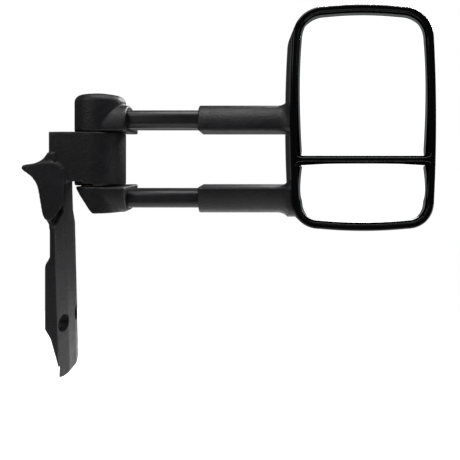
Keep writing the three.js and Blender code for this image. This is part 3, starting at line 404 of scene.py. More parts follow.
@dataclass(frozen=True)
class Finish:
    """What every finish shares: a name, a pair of colours that drift into each other, and gloss.

    The two colours are mixed by a slow cloud of noise, and the roughness by a finer one, so no
    surface is one flat colour. A finish adds its own grain in relief().
    """

    name: str
    colour: str
    second: str
    roughness: tuple[float, float]
    metallic: float = 0.0
    ior: float = 1.5
    specular: float = 0.5
    drift_mm: float = 45.0
    gloss_mm: float = 9.0
    patch_mm: float = 6.0
    # colour of the lighter edges: partly wear, partly a painted highlight along them
    worn: str = ""

    def build(self) -> bpy.types.Material:
        """Makes the material.

        Returns:
            A node material that reads Object coordinates.
        """
        material = bpy.data.materials.new(self.name)
        material.use_nodes = True
        tree = material.node_tree
        tree.nodes.clear()
        place = add_node(tree, "TexCoord").outputs["Object"]
        cloud = self.noise(tree, place, self.drift_mm, 4.0)
        soft = add_node(tree, "MapRange", {"Value": cloud, "From Min": 0.36, "From Max": 0.64})
        colour = add_node(
            tree,
            "Mix",
            {"Factor": soft.outputs["Result"], "A": linear(self.colour), "B": linear(self.second)},
            data_type="RGBA",
        )
        # base colour: the finish's marks (for the nylon, painted shade in the grain's pits and painted
        # highlight on its ridges), then edge wear with a painted edge highlight
        base = self.wear(tree, place, self.stain(tree, place, colour.outputs["Result"]))
        haze = self.noise(tree, place, self.gloss_mm, 3.0)
        low, high = self.roughness
        rough = add_node(
            tree,
            "MapRange",
            {"Value": haze, "From Min": 0.3, "From Max": 0.7, "To Min": low, "To Max": high},
        )
        links: dict[str, Any] = {
            "Base Color": base,
            "Roughness": rough.outputs["Result"],
            "Metallic": self.metallic,
        }
        if self.metallic < 1.0:
            links |= {"IOR": self.ior, "Specular IOR Level": self.specular}
        relief = self.relief(tree, place)
        if relief is not None:
            links["Normal"] = relief
        shader = add_node(tree, "BsdfPrincipled", links)
        add_node(tree, "OutputMaterial", {"Surface": shader.outputs["BSDF"]})
        return material

    @staticmethod
    def noise(tree: bpy.types.NodeTree, place: Any, size_mm: float, detail: float) -> Any:
        """A cloud whose blobs are about size_mm across."""
        return add_node(
            tree, "TexNoise", {"Vector": place, "Scale": 1.0 / (size_mm * MM), "Detail": detail}
        ).outputs["Fac"]

    def stain(self, tree: bpy.types.NodeTree, place: Any, colour: Any) -> Any:
        """The colour with the finish's own marks in it: real flecks, or painted shade and painted highlight
        that follow a grain. A plain finish has none.
        """
        return colour

    def wear(self, tree: bpy.types.NodeTree, place: Any, colour: Any) -> Any:
        """A lighter colour on sharp edges, partly rubbed wear and partly a painted highlight along the
        edges: the mesh's own pointiness, broken up by noise.
        """
        if not self.worn:
            return colour
        edge = add_node(tree, "NewGeometry").outputs["Pointiness"]
        # painted highlight along sharp edges, also standing for wear, taken from pointiness
        rub_and_highlight = add_node(
            tree, "MapRange", {"Value": edge, "From Min": 0.505, "From Max": 0.56, "To Max": 0.55}
        )
        patches = self.noise(tree, place, self.patch_mm, 5.0)
        patchy_rub_and_highlight = add_node(tree, "Math", {0: rub_and_highlight.outputs["Result"], 1: patches}, operation="MULTIPLY")
        mixed = add_node(
            tree,
            "Mix",
            {"Factor": patchy_rub_and_highlight.outputs["Value"], "A": colour, "B": linear(self.worn)},
            data_type="RGBA",
        )
        return mixed.outputs["Result"]

    def relief(self, tree: bpy.types.NodeTree, place: Any) -> Any:
        """The finish's bump as a normal, or None."""
        return None

    @staticmethod
    def bump(tree: bpy.types.NodeTree, height: Any, strength: float, depth_mm: float) -> Any:
        """A normal from a height between 0 and 1 that stands for depth_mm."""
        return add_node(
            tree, "Bump", {"Height": height, "Strength": strength, "Distance": depth_mm * MM}
        ).outputs["Normal"]


@dataclass(frozen=True)
class SparkErodedNylon(Finish):
    """Black glass-filled nylon from a spark-eroded mould: a fine pebbled grain that breaks up gloss.

    The real grain is about 0.4 mm, too fine to show, so it is drawn at 2 mm.
    """

    grain_mm: float = 2.0
    depth_mm: float = 0.32

    def stain(self, tree: bpy.types.NodeTree, place: Any, colour: Any) -> Any:
        """Painted shade darkens the grain's pits by a fifth, and a painted highlight lightens the ridges
        between them by a quarter.
        """
        # painted shade in the pits and painted highlight on the ridges, from the same cells as the bump
        pits = add_node(tree, "TexVoronoi", {"Vector": place, "Scale": 1.0 / (self.grain_mm * MM)})
        pit_shade_and_ridge_light = add_node(
            tree,
            "MapRange",
            {"Value": pits.outputs["Distance"], "From Max": 0.9, "To Min": 0.78, "To Max": 1.25},
        )
        grey = add_node(tree, "CombineColor", {k: pit_shade_and_ridge_light.outputs["Result"] for k in ("Red", "Green", "Blue")})
        return add_node(
            tree,
            "Mix",
            {"Factor": 1.0, "A": colour, "B": grey.outputs["Color"]},
            data_type="RGBA",
            blend_type="MULTIPLY",
        ).outputs["Result"]

    def relief(self, tree: bpy.types.NodeTree, place: Any) -> Any:
        """Two sizes of pebble, one on the other."""
        coarse = add_node(tree, "TexVoronoi", {"Vector": place, "Scale": 1.0 / (self.grain_mm * MM)})
        fine = self.noise(tree, place, self.grain_mm * 0.6, 2.0)
        height = add_node(tree, "Math", {0: coarse.outputs["Distance"], 1: fine}, operation="ADD")
        return self.bump(tree, height.outputs["Value"], 0.9, self.depth_mm)


@dataclass(frozen=True)
class PolishedAbs(Finish):
    """Black ABS from a polished mould: near-black, sharp reflections, a faint ripple from cooling."""

    ripple_mm: float = 14.0
    depth_mm: float = 0.25

    def relief(self, tree: bpy.types.NodeTree, place: Any) -> Any:
        """A shallow wide ripple."""
        height = self.noise(tree, place, self.ripple_mm, 1.0)
        return self.bump(tree, height, 0.12, self.depth_mm)


@dataclass(frozen=True)
class CoatedExtrusion(Finish):
    """Extruded aluminium under gloss black: clear reflections drawn out by faint lines along the bar."""

    line_mm: float = 1.1
    depth_mm: float = 0.04

    def relief(self, tree: bpy.types.NodeTree, place: Any) -> Any:
        """Noise stretched a hundred times along X, as a die leaves it."""
        stretched = add_node(
            tree, "Mapping", {"Vector": place, "Scale": (0.01, 1.0, 1.0)}, vector_type="POINT"
        )
        height = self.noise(tree, stretched.outputs["Vector"], self.line_mm, 2.0)
        return self.bump(tree, height, 0.1, self.depth_mm)


@dataclass(frozen=True)
class SilveredGlass(Finish):
    """Float glass silvered behind: a bright metal mirror with a faint haze where it was wiped."""


@dataclass(frozen=True)
class PlatedSteel(Finish):
    """Zinc-plated or tempered steel: a mottled metal grey with fine turning marks."""

    mark_mm: float = 0.7
    depth_mm: float = 0.03

    def relief(self, tree: bpy.types.NodeTree, place: Any) -> Any:
        """Fine noise for the plated crystals."""
        height = self.noise(tree, place, self.mark_mm, 3.0)
        return self.bump(tree, height, 0.2, self.depth_mm)


@dataclass(frozen=True)
class PressedFriction(Finish):
    """Pressed friction composite: brown resin with pale fibre flecks and a dry, pitted face."""

    fleck_mm: float = 1.6
    fleck: str = "#a08a66"
    pit_mm: float = 0.8
    depth_mm: float = 0.1

    def stain(self, tree: bpy.types.NodeTree, place: Any, colour: Any) -> Any:
        """Flecks where a cell noise is near a cell's middle."""
        cells = add_node(tree, "TexVoronoi", {"Vector": place, "Scale": 1.0 / (self.fleck_mm * MM)})
        spot = add_node(
            tree, "MapRange", {"Value": cells.outputs["Distance"], "From Min": 0.32, "From Max": 0.18}
        )
        return add_node(
            tree,
            "Mix",
            {"Factor": spot.outputs["Result"], "A": colour, "B": linear(self.fleck)},
            data_type="RGBA",
        ).outputs["Result"]

    def relief(self, tree: bpy.types.NodeTree, place: Any) -> Any:
        """Small pits."""
        height = self.noise(tree, place, self.pit_mm, 4.0)
        return self.bump(tree, height, 0.5, self.depth_mm)


@dataclass
class Finishes:
    """One material for each of the record's slots."""

    made: dict[str, bpy.types.Material] = field(default_factory=dict)

    def build(self) -> None:
        """Makes every finish and keeps it under its slot's name."""
        finishes = {
            "textured_plastic": SparkErodedNylon(
                "black_glass_filled_nylon",
                "#0c0c0e",
                "#101012",
                (0.36, 0.46),
                specular=0.16,
                # lighter edge colour: partly wear, partly a painted highlight along the edges
                worn="#2c2c30",
            ),
            "satin_plastic": SparkErodedNylon(
                "black_satin_acetal",
                "#0a0a0b",
                "#0e0e10",
                (0.34, 0.44),
                specular=0.2,
                grain_mm=0.9,
                depth_mm=0.03,
            ),
            "gloss_plastic": PolishedAbs(
                "polished_black_abs", "#030304", "#050506", (0.1, 0.16), specular=0.1
            ),
            "tube_finish": CoatedExtrusion(
                "gloss_coated_aluminium", "#0a0a0c", "#0e0e11", (0.36, 0.44), specular=0.3
            ),
            "inner_plastic": SparkErodedNylon(
                "grey_moulded_nylon",
                "#3a3b3e",
                "#424347",
                (0.5, 0.62),
                grain_mm=1.5,
                depth_mm=0.05,
                # lighter edge colour: partly wear, partly a painted highlight along the edges
                worn="#5c5d60",
            ),
            "acetal": PolishedAbs("natural_acetal", "#d8d5cb", "#cfccc0", (0.28, 0.38), ior=1.48),
            "friction_composite": PressedFriction(
                "pressed_friction_composite", "#5d4a36", "#6b563f", (0.75, 0.9)
            ),
            "zinc_steel": PlatedSteel(
                "zinc_plated_steel", "#b4b8bc", "#9da2a8", (0.22, 0.36), metallic=1.0
            ),
            "spring_steel": PlatedSteel(
                "oil_tempered_steel", "#565a60", "#43464c", (0.24, 0.38), metallic=1.0
            ),
            "mirror_glass": SilveredGlass(
                "silvered_float_glass", "#f6f8f9", "#f2f5f6", (0.0, 0.015), metallic=1.0, gloss_mm=40.0
            ),
        }
        self.made = {slot: finish.build() for slot, finish in finishes.items()}

    def __getitem__(self, slot: str) -> bpy.types.Material:
        """The material of a slot."""
        return self.made[slot]


# ---------------------------------------------------------------------------------------------
# Places
# ---------------------------------------------------------------------------------------------


@dataclass(frozen=True)
class Extent:
    """A box in millimetres."""

    low: np.ndarray
    high: np.ndarray

    @classmethod
    def of(cls, node: str) -> Extent:
        """The box of a node of the frame."""
        low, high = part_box(node)
        return cls(np.array(low) / MM, np.array(high) / MM)

    @property
    def middle(self) -> np.ndarray:
        """The box's middle."""
        return (self.low + self.high) / 2


@dataclass(frozen=True)
class Places:
    """The lengths that every sub-assembly shares, read from the frame's boxes."""

    pivot_x: float
    flats: dict[Arm, float]
    cap_end: float
    mouth_x: float
    tube_start: float
    tube_end: float
    head: np.ndarray
    head_size: np.ndarray
    back_y: float
    rim_y: float
    front_y: float

    @classmethod
    def read(cls) -> Places:
        """Reads them from the boxes of the shaft, caps, tube, shell and bezel."""
        shaft, bezel, shell = (Extent.of(node) for node in ("pivot_shaft", "bezel", "rear_shell"))
        upper, lower = Extent.of("upper_pivot_cap"), Extent.of("lower_pivot_cap")
        tube = Extent.of("upper_tube")
        return cls(
            pivot_x=float(shaft.middle[0]),
            flats={Arm.UPPER: float(upper.low[2]), Arm.LOWER: float(lower.high[2])},
            cap_end=float(upper.high[0]),
            mouth_x=float(shell.low[0]),
            tube_start=float(tube.low[0]),
            tube_end=float(tube.high[0]),
            head=bezel.middle[[0, 2]],
            head_size=(bezel.high - bezel.low)[[0, 2]],
            back_y=float(bezel.low[1]),
            rim_y=float(shell.low[1]),
            front_y=float(shell.high[1]),
        )

    def on_arm(self, section: np.ndarray, arm: Arm) -> np.ndarray:
        """Turns a section in (y, height above the flat face) into (y, z) on an arm."""
        placed = section.copy()
        placed[..., 1] = self.flats[arm] + arm.value * section[..., 1]
        return placed


# ---------------------------------------------------------------------------------------------
# Sections of this mirror
# ---------------------------------------------------------------------------------------------


@dataclass(frozen=True)
class WingSection:
    """The wing that caps and sleeves share: a flat face, a thin nose ahead and a ridge behind."""

    front: float = 45.0
    rear: float = 32.0
    height: float = 35.5
    ridge_y: float = -2.0
    nose_ease: float = 0.4
    points: int = 132

    def outline(self) -> np.ndarray:
        """The section as (y, height), anticlockwise, in an array of shape (points, 2)."""
        edge = self.front - self.nose_ease
        ridge, top, rear = self.ridge_y, self.height, self.rear
        curve = np.vstack(
            [
                line((4 - rear, 0), (edge - 1.6, 0), 40),
                bezier([(edge - 1.6, 0), (edge + 0.8, 0.2), (edge, 2.4)], 12),
                bezier([(edge, 2.4), (edge - 6, 16), (edge - 19, top), (ridge, top)], 40),
                bezier([(ridge, top), (ridge - 18, top), (2 - rear, 24), (-rear, 4)], 40),
                bezier([(-rear, 4), (-rear, 0), (4 - rear, 0)], 10),
            ]
        )
        return resample(curve, self.points)


@dataclass(frozen=True)
class TubeSection:
    """The rounded oblong section of an extension tube, as (y, height)."""

    centre: tuple[float, float] = (2.0, 16.05)
    size: tuple[float, float] = (44.0, 24.5)
    radius: float = 9.0

    def outline(self, grow: float = 0.0, corner: int = 16, side: int = 8) -> np.ndarray:
        """The section, grown or shrunk by an offset."""
        size = (self.size[0] + 2 * grow, self.size[1] + 2 * grow)
        return rounded_rectangle(self.centre, size, self.radius + grow, corner, side)


@dataclass(frozen=True)
class HeadOutline:
    """The head's outline from behind: a tall oblong with bulging sides and large round corners."""

    size: tuple[float, float]
    corner_top: float = 44.0
    corner_bottom: float = 37.0
    crown: float = 2.6
    corner_pull: float = 0.45
    curve_points: int = 24

    def ring(self, inset: float = 0.0) -> np.ndarray:
        """The head's outline about its middle, drawn in by an inset."""
        half_w, half_h = self.size[0] / 2 - inset, self.size[1] / 2 - inset
        radii = (self.corner_top - inset, self.corner_bottom - inset)
        return self.oblong((-half_w, half_w, -half_h, half_h), radii)

    def oblong(
        self,
        sides: tuple[float, float, float, float],
        radii: tuple[float, float],
        crown_low: float | None = None,
    ) -> np.ndarray:
        """An oblong with crowned sides: four shallow parabolas and four cubic corners.

        Args:
            sides: left, right, low and high.
            radii: corner radius at the top and at the bottom.
            crown_low: bulge of the lower side, if it isn't the same as the others.

        Returns:
            Eight curves' points, anticlockwise.
        """
        left, right, low, high = sides
        top, bottom = radii
        bulge = self.crown
        under = bulge if crown_low is None else crown_low
        mid_u, mid_v = (left + right) / 2, (low + high) / 2
        t, b = top * self.corner_pull, bottom * self.corner_pull
        west, east, south, north = left + bulge, right - bulge, low + under, high - bulge
        curves = [
            [(left + bottom, south), (mid_u, low - under), (right - bottom, south)],
            [(right - bottom, south), (right - b, south), (east, low + b), (east, low + bottom)],
            [(east, low + bottom), (right + bulge, mid_v), (east, high - top)],
            [(east, high - top), (east, high - t), (right - t, north), (right - top, north)],
            [(right - top, north), (mid_u, high + bulge), (left + top, north)],
            [(left + top, north), (left + t, north), (west, high - t), (west, high - top)],
            [(west, high - top), (left - bulge, mid_v), (west, low + bottom)],
            [(west, low + bottom), (west, low + b), (left + b, south), (left + bottom, south)],
        ]
        return np.vstack([bezier(curve, self.curve_points) for curve in curves])


# ---------------------------------------------------------------------------------------------
# Head
# ---------------------------------------------------------------------------------------------


@dataclass
class RearShell:
    """The shell behind the glasses, with a sleeve and a dying-out fin for each arm."""

    places: Places
    finishes: Finishes
    wall: float = 2.8
    round: float = 22.0
    slope: float = 12.5
    dome: float = 7.0
    slope_power: float = 1.3
    closed: float = 0.02
    fin_end: float = 45.0
    mouth_round: float = 2.2
    flare: float = 8.5
    flare_length: float = 14.0
    flare_power: float = 2.6
    flare_from: float = -28.0
    flare_depth: float = 46.0
    root_depth: float = 4.0
    nose_draw: float = 4.0
    bore: float = 1.6
    tunnel_wall: float = 2.0
    channel_y: float = -24.0
    slide_room: float = 96.0
    mouth_depth: float = 8.0
    crease: float = 30.0
    wall_steps: int = 10
    turn_steps: int = 15
    front_steps: int = 26
    run_steps: int = 15
    wing: WingSection = field(default_factory=WingSection)
    tube: TubeSection = field(default_factory=TubeSection)

    def form(self, inset: float, back_y: float) -> Surface:
        """The bowl: a straight wall, a quarter round and a front that closes on its middle.

        The front lies lower by slope times the share of the width inboard to the power 1.3, and by
        dome times the share of the height squared.

        Args:
            inset: how far inside the outer face.
            back_y: where its open side ends.

        Returns:
            A closed surface.
        """
        places = self.places
        outline = HeadOutline(tuple(places.head_size)).ring(inset)
        front, radius = places.front_y - inset, self.round - inset
        wall = np.linspace(0.0, 1.0, self.wall_steps + 1)[:-1]
        turn = np.linspace(0.0, math.pi / 2, self.turn_steps)
        over = np.linspace(0.0, 1.0, self.front_steps + 1)[1:]
        y = np.concatenate(
            [
                back_y + (front - radius - back_y) * wall,
                front - radius * (1 - np.sin(turn)),
                np.full(self.front_steps, front),
            ]
        )
        shrink = np.concatenate(
            [np.zeros(self.wall_steps), radius * (1 - np.cos(turn)), np.full(self.front_steps, radius)]
        )
        scale = np.concatenate(
            [np.ones(self.wall_steps + self.turn_steps), 1.0 - (1.0 - self.closed) * over]
        )
        half = places.head_size / 2 - inset
        flat = outline * ((half - shrink[:, None]) / half)[:, None, :] * scale[:, None, None]
        u, v = flat[..., 0], flat[..., 1]
        width, height = places.head_size
        inboard = np.maximum((width / 2 - u) / width, 0.0)
        drop = self.slope * inboard**self.slope_power + self.dome * (v / (height / 2)) ** 2
        along = np.maximum((y - back_y) / (front - back_y), 0.0)[:, None]
        depth = y[:, None] - drop * along
        return rings_surface(np.dstack([u + places.head[0], depth, v + places.head[1]]))

    def wing_body(self, arm: Arm) -> Surface:
        """A sleeve: the wing section from its mouth to the end of the fin.

        The mouth's edge is rounded. Towards the head's side wall the section swells along its
        normals, by a smooth step that fades from the glasses' side to the nose. Over the head the
        nose draws back so that the fin dies into the front.
        """
        places = self.places
        side_x = places.head[0] - places.head_size[0] / 2
        angle = np.linspace(0.0, math.pi / 2, 7)
        lip = self.mouth_round
        xs = np.concatenate(
            [
                places.mouth_x + lip * (1 - np.cos(angle)),
                np.linspace(places.mouth_x + lip, side_x - self.flare_length, self.run_steps - 2)[1:],
                np.linspace(side_x - self.flare_length, side_x + self.root_depth, self.run_steps)[1:],
                np.linspace(side_x + self.root_depth, places.head[0] + self.fin_end, self.run_steps)[1:],
            ]
        )
        shrink = np.concatenate([lip * (1 - np.sin(angle)), np.zeros(len(xs) - len(angle))])
        near = np.clip((xs - (side_x - self.flare_length)) / self.flare_length, 0.0, 1.0)
        grow = self.flare * near**self.flare_power
        past = np.clip((xs - side_x) / (places.head[0] + self.fin_end - side_x), 0.0, 1.0)
        draw = self.nose_draw * past**1.5
        base = self.wing.outline()
        normal = normals(base)
        deep = np.clip((base[:, 0] - self.flare_from) / self.flare_depth, 0.0, 1.0)
        inner = 1.0 - deep * deep * (3.0 - 2.0 * deep)
        swell = grow[:, None] * inner * np.clip(np.abs(normal[:, 1]) * 1.2 + 0.3, 0.0, 1.0)
        section = base + (swell - shrink[:, None])[..., None] * normal
        nose = np.clip((base[:, 0] - 6.0) / 30.0, 0.0, 1.0) ** 1.3
        section[..., 0] -= draw[:, None] * nose
        return rings_surface(along_x(places.on_arm(section, arm), xs))

    def tunnel(
        self, arm: Arm, grow: float, low: float, high: float, from_y: float = -math.inf
    ) -> Surface:
        """A straight length of the tube's section, grown by an offset and cut off flat at from_y.

        Args:
            arm: which arm it belongs to.
            grow: the offset.
            low: where it starts along X.
            high: where it ends along X.
            from_y: what lies nearer the glasses than this is drawn back to it.

        Returns:
            A closed surface.
        """
        outline = self.tube.outline(grow)
        outline[..., 0] = np.maximum(outline[..., 0], from_y)
        section = self.places.on_arm(outline, arm)
        return rings_surface(along_x(section, np.linspace(low, high, 2)))

    def build(self) -> None:
        """Joins the bowl and the wings, hollows them, and bores the way of the tubes."""
        places = self.places
        side_x = places.head[0] - places.head_size[0] / 2
        end = Extent.of("upper_tube").high[0] + self.slide_room
        piece = make_piece("rear_shell_skin", self.form(0.0, places.rim_y))
        combine(piece, [self.wing_body(arm) for arm in Arm], Join.UNION)
        combine(piece, [self.form(self.wall, places.rim_y - self.mouth_depth)], Join.DIFFERENCE)
        wall = self.bore + self.tunnel_wall
        tunnels = [self.tunnel(arm, wall, side_x - 2.0, end, self.channel_y) for arm in Arm]
        combine(piece, tunnels, Join.UNION)
        bores = [self.tunnel(arm, self.bore, places.mouth_x - 1.0, end + 1.0) for arm in Arm]
        combine(piece, bores, Join.DIFFERENCE)
        shade(piece.data, self.crease)
        finish_piece(
            piece, "head", self.finishes["textured_plastic"], ["rear_shell"]
        )


@dataclass
class Bezel:
    """The gloss frame that holds the glasses, with a divider bar between them."""

    places: Places
    finishes: Finishes
    band: float = 8.5
    depth: float = 11.0
    edge: float = 3.4
    skirt_inset: float = 3.1
    skirt_wall: float = 2.6
    skirt_depth: float = 6.0
    divider: tuple[float, float] = (-54.75, -49.25)
    divider_depth: float = 9.0
    divider_sunk: float = 0.15
    lip_radius: float = 1.2
    lip_depth: float = 2.1
    draft: float = 0.05
    back_round: float = 0.6
    bite: float = 1.5
    flare: float = 4.0
    flare_run: float = 12.0
    run_steps: int = 13
    crease: float = 42.0

    def profile(self) -> np.ndarray:
        """The band's section as (inset from the outline, distance from the face), a closed loop."""
        depth, inset, ease = self.depth, self.skirt_inset, self.back_round
        round_out = arc((self.edge, self.edge), self.edge, (180, 255), 9)
        peak = self.band * 0.52
        crown = [tuple(round_out[-1]), (self.edge + 0.6, 0.0), (peak, 0.0), (self.band - 1.9, 1.0)]
        face = bezier(crown, 9)
        lip = arc((self.band - self.lip_radius, self.lip_depth), self.lip_radius, (235, 360), 8)
        throat = (self.band + self.draft, depth)
        inner = line((self.band, self.lip_depth), throat, 4)
        wall = inset + self.skirt_wall
        foot_y = depth + self.skirt_depth
        under = line(throat, (wall, depth), 3)
        down = line((wall, depth), (wall, foot_y), 3)
        foot = line((wall, foot_y), (inset, foot_y), 2)
        rise = line((inset, foot_y), (inset, depth), 3)
        shelf = line((inset, depth), (ease, depth), 3)
        back = arc((ease, depth - ease), ease, (90, 180), 4)
        outside = line((0.0, depth - ease), (0.0, self.edge), 4)
        return np.vstack([round_out, face, lip, inner, under, down, foot, rise, shelf, back, outside])

    def frame(self) -> Surface:
        """The band and its skirt: the profile carried round the head's outline."""
        profile = self.profile()
        outline = HeadOutline(tuple(self.places.head_size))
        rings = np.stack([outline.ring(float(inset)) for inset in profile[:, 0]])
        y = np.broadcast_to(self.places.back_y + profile[:, 1, None], rings.shape[:2])
        return rings_surface(
            np.dstack(
                [rings[..., 0] + self.places.head[0], y, rings[..., 1] + self.places.head[1]]
            ),
            Ends.LOOP,
        )

    def bar(self) -> Surface:
        """The divider: a bar with a rounded face whose ends flare into the band by a quarter circle."""
        low, high = self.divider
        run = self.flare_run
        half = self.places.head_size[0] / 2 - self.band + self.bite
        u = np.concatenate(
            [
                np.linspace(-half, -half + run, self.run_steps),
                np.linspace(-half + run, half - run, self.run_steps)[1:-1],
                np.linspace(half - run, half, self.run_steps),
            ]
        )
        from_end = np.clip((u + half) / run, 0.0, 1.0) * np.clip((half - u) / run, 0.0, 1.0)
        flare = self.flare * (1.0 - np.sqrt(np.clip(1.0 - (1.0 - from_end) ** 2, 0.0, 1.0)))
        section = rounded_rectangle((0.0, 0.0), (1.0, 1.0), 0.25, 6, 4)
        section = np.column_stack([section[:, 0] * self.divider_depth, section[:, 1]])
        height = (high - low) + 2 * flare
        depth = section[:, 0] + self.places.back_y + self.divider_sunk + self.divider_depth / 2
        y = np.broadcast_to(depth, (len(u), len(section)))
        z = section[:, 1] * height[:, None] + (low + high) / 2 + self.places.head[1]
        x = np.broadcast_to(u[:, None] + self.places.head[0], y.shape)
        return rings_surface(np.dstack([x, y, z]))

    def build(self) -> None:
        """Makes the band, joins the bar to it and dresses both."""
        piece = make_piece("bezel_frame", self.frame())
        combine(piece, [self.bar()], Join.UNION)
        shade(piece.data, self.crease)
        finish_piece(piece, "head", self.finishes["gloss_plastic"], ["bezel"])


@dataclass
class Glasses:
    """The flat main glass above and the convex spotter glass below."""

    places: Places
    finishes: Finishes
    gap: float = 1.5
    band: float = 8.5
    sunk: float = 3.5
    thickness: float = 2.0
    edge: float = 0.5
    soft_edge: float = 0.15
    small_round: float = 6.0
    divider: tuple[float, float] = (-54.75, -49.25)
    bulge: float = 1.2
    closed: float = 0.02
    face_steps: int = 19
    crease: float = 50.0

    def outline(self, main: bool, inset: float) -> np.ndarray:
        """A glass's outline about the head's middle."""
        shape = HeadOutline(tuple(self.places.head_size))
        half_w = self.places.head_size[0] / 2 - self.band - inset
        half_h = self.places.head_size[1] / 2 - self.band - inset
        top, bottom = shape.corner_top - self.band - inset, shape.corner_bottom - self.band - inset
        if main:
            sides = (-half_w, half_w, self.divider[1] + inset, half_h)
            return shape.oblong(sides, (top, self.small_round), 0.0)
        sides = (-half_w, half_w, -half_h, self.divider[0] - inset)
        return shape.oblong(sides, (self.small_round, bottom))

    def pane(self, main: bool) -> Surface:
        """A pane with eased edges, closed towards its middle on both faces.

        The spotter's face bulges by what the squared share across leaves of one, times the root of
        what the squared share up leaves of one.
        """
        outer = self.outline(main, self.gap)
        middle = (outer.max(axis=0) + outer.min(axis=0)) / 2
        half = (outer.max(axis=0) - outer.min(axis=0)) / 2
        shares = np.linspace(1.0, self.closed, self.face_steps + 1)[1:]
        insets = (0.0, 0.0, self.soft_edge, self.edge)
        depth = np.array([self.thickness, self.edge, self.soft_edge, 0.0])
        first = np.stack([self.outline(main, self.gap + inset) for inset in insets])
        rest = middle + (first[-1] - middle) * shares[:, None, None]
        flat = np.concatenate([first, rest])
        y = np.concatenate([depth, np.zeros(self.face_steps)])[:, None] * np.ones(flat.shape[1])
        if not main:
            away = 1.0 - np.clip(((flat - middle) / half) ** 2, 0.0, 1.0)
            dome = self.bulge * away[..., 0] * np.sqrt(away[..., 1])
            dome[:1] = 0.0
            y = y - dome
        flat = np.concatenate([middle + (flat[:1] - middle) * self.closed, flat])
        y = np.vstack([np.full((1, y.shape[1]), self.thickness), y])
        x = flat[..., 0] + self.places.head[0]
        z = flat[..., 1] + self.places.head[1]
        return rings_surface(np.dstack([x, y + self.places.back_y + self.sunk, z]))

    def build(self) -> None:
        """Makes and dresses the two panes."""
        for name, main in (("main", True), ("spotter", False)):
            piece = make_piece(f"{name}_mirror_pane", self.pane(main), self.crease)
            finish_piece(
                piece, f"{name}_mirror", self.finishes["mirror_glass"], [f"{name}_glass"]
            )


# ---------------------------------------------------------------------------------------------
# Arms
# ---------------------------------------------------------------------------------------------


@dataclass
class ExtensionTubes:
    """The two gloss tubes and the bushes at the sleeves' mouths that they slide in."""

    places: Places
    finishes: Finishes
    wall: float = 2.0
    tube_ease: float = 0.5
    bush_grows: tuple[float, float] = (1.45, 0.15)
    bush_ease: float = 0.4
    tube: TubeSection = field(default_factory=TubeSection)

    def sleeve(
        self, arm: Arm, grows: tuple[float, float], low: float, high: float, ease: float
    ) -> Surface:
        """A hollow length of the tube's section with eased edges.

        Args:
            arm: the arm it lies on.
            grows: offset of its outer and of its inner face.
            low: its inboard end.
            high: its outboard end.
            ease: radius of the edges.

        Returns:
            A closed surface: the outer face outwards, and the inner face back again.
        """
        outer, inner = grows
        part = ease * 0.3
        xs = np.array([low, low + part, low + ease, high - ease, high - part, high])
        offsets = (-ease, -part, 0.0, 0.0, -part, -ease)
        out = np.stack([self.tube.outline(outer + k, 24, 8) for k in offsets])
        back = np.stack([self.tube.outline(inner - k * 0.5, 24, 8) for k in offsets])
        sections = np.concatenate([out, back[::-1]])
        rings = along_x(self.places.on_arm(sections, arm), np.concatenate([xs, xs[::-1]]))
        return rings_surface(rings, Ends.LOOP)

    def build(self) -> None:
        """Makes and dresses the tubes and the sleeve bushes."""
        places = self.places
        for arm in Arm:
            skin = self.sleeve(arm, (0.0, -self.wall), places.tube_start, places.tube_end, self.tube_ease)
            tube = make_piece(f"{arm.label}_gloss_tube", skin)
            finish_piece(tube, "arms", self.finishes["tube_finish"], [f"{arm.label}_tube"])
            node = f"{arm.label}_sleeve_bush"
            box = Extent.of(node)
            ring = self.sleeve(arm, self.bush_grows, float(box.low[0]), float(box.high[0]), self.bush_ease)
            bush = make_piece(f"{arm.label}_mouth_bush", ring)
            finish_piece(bush, "head", self.finishes["satin_plastic"], [node])


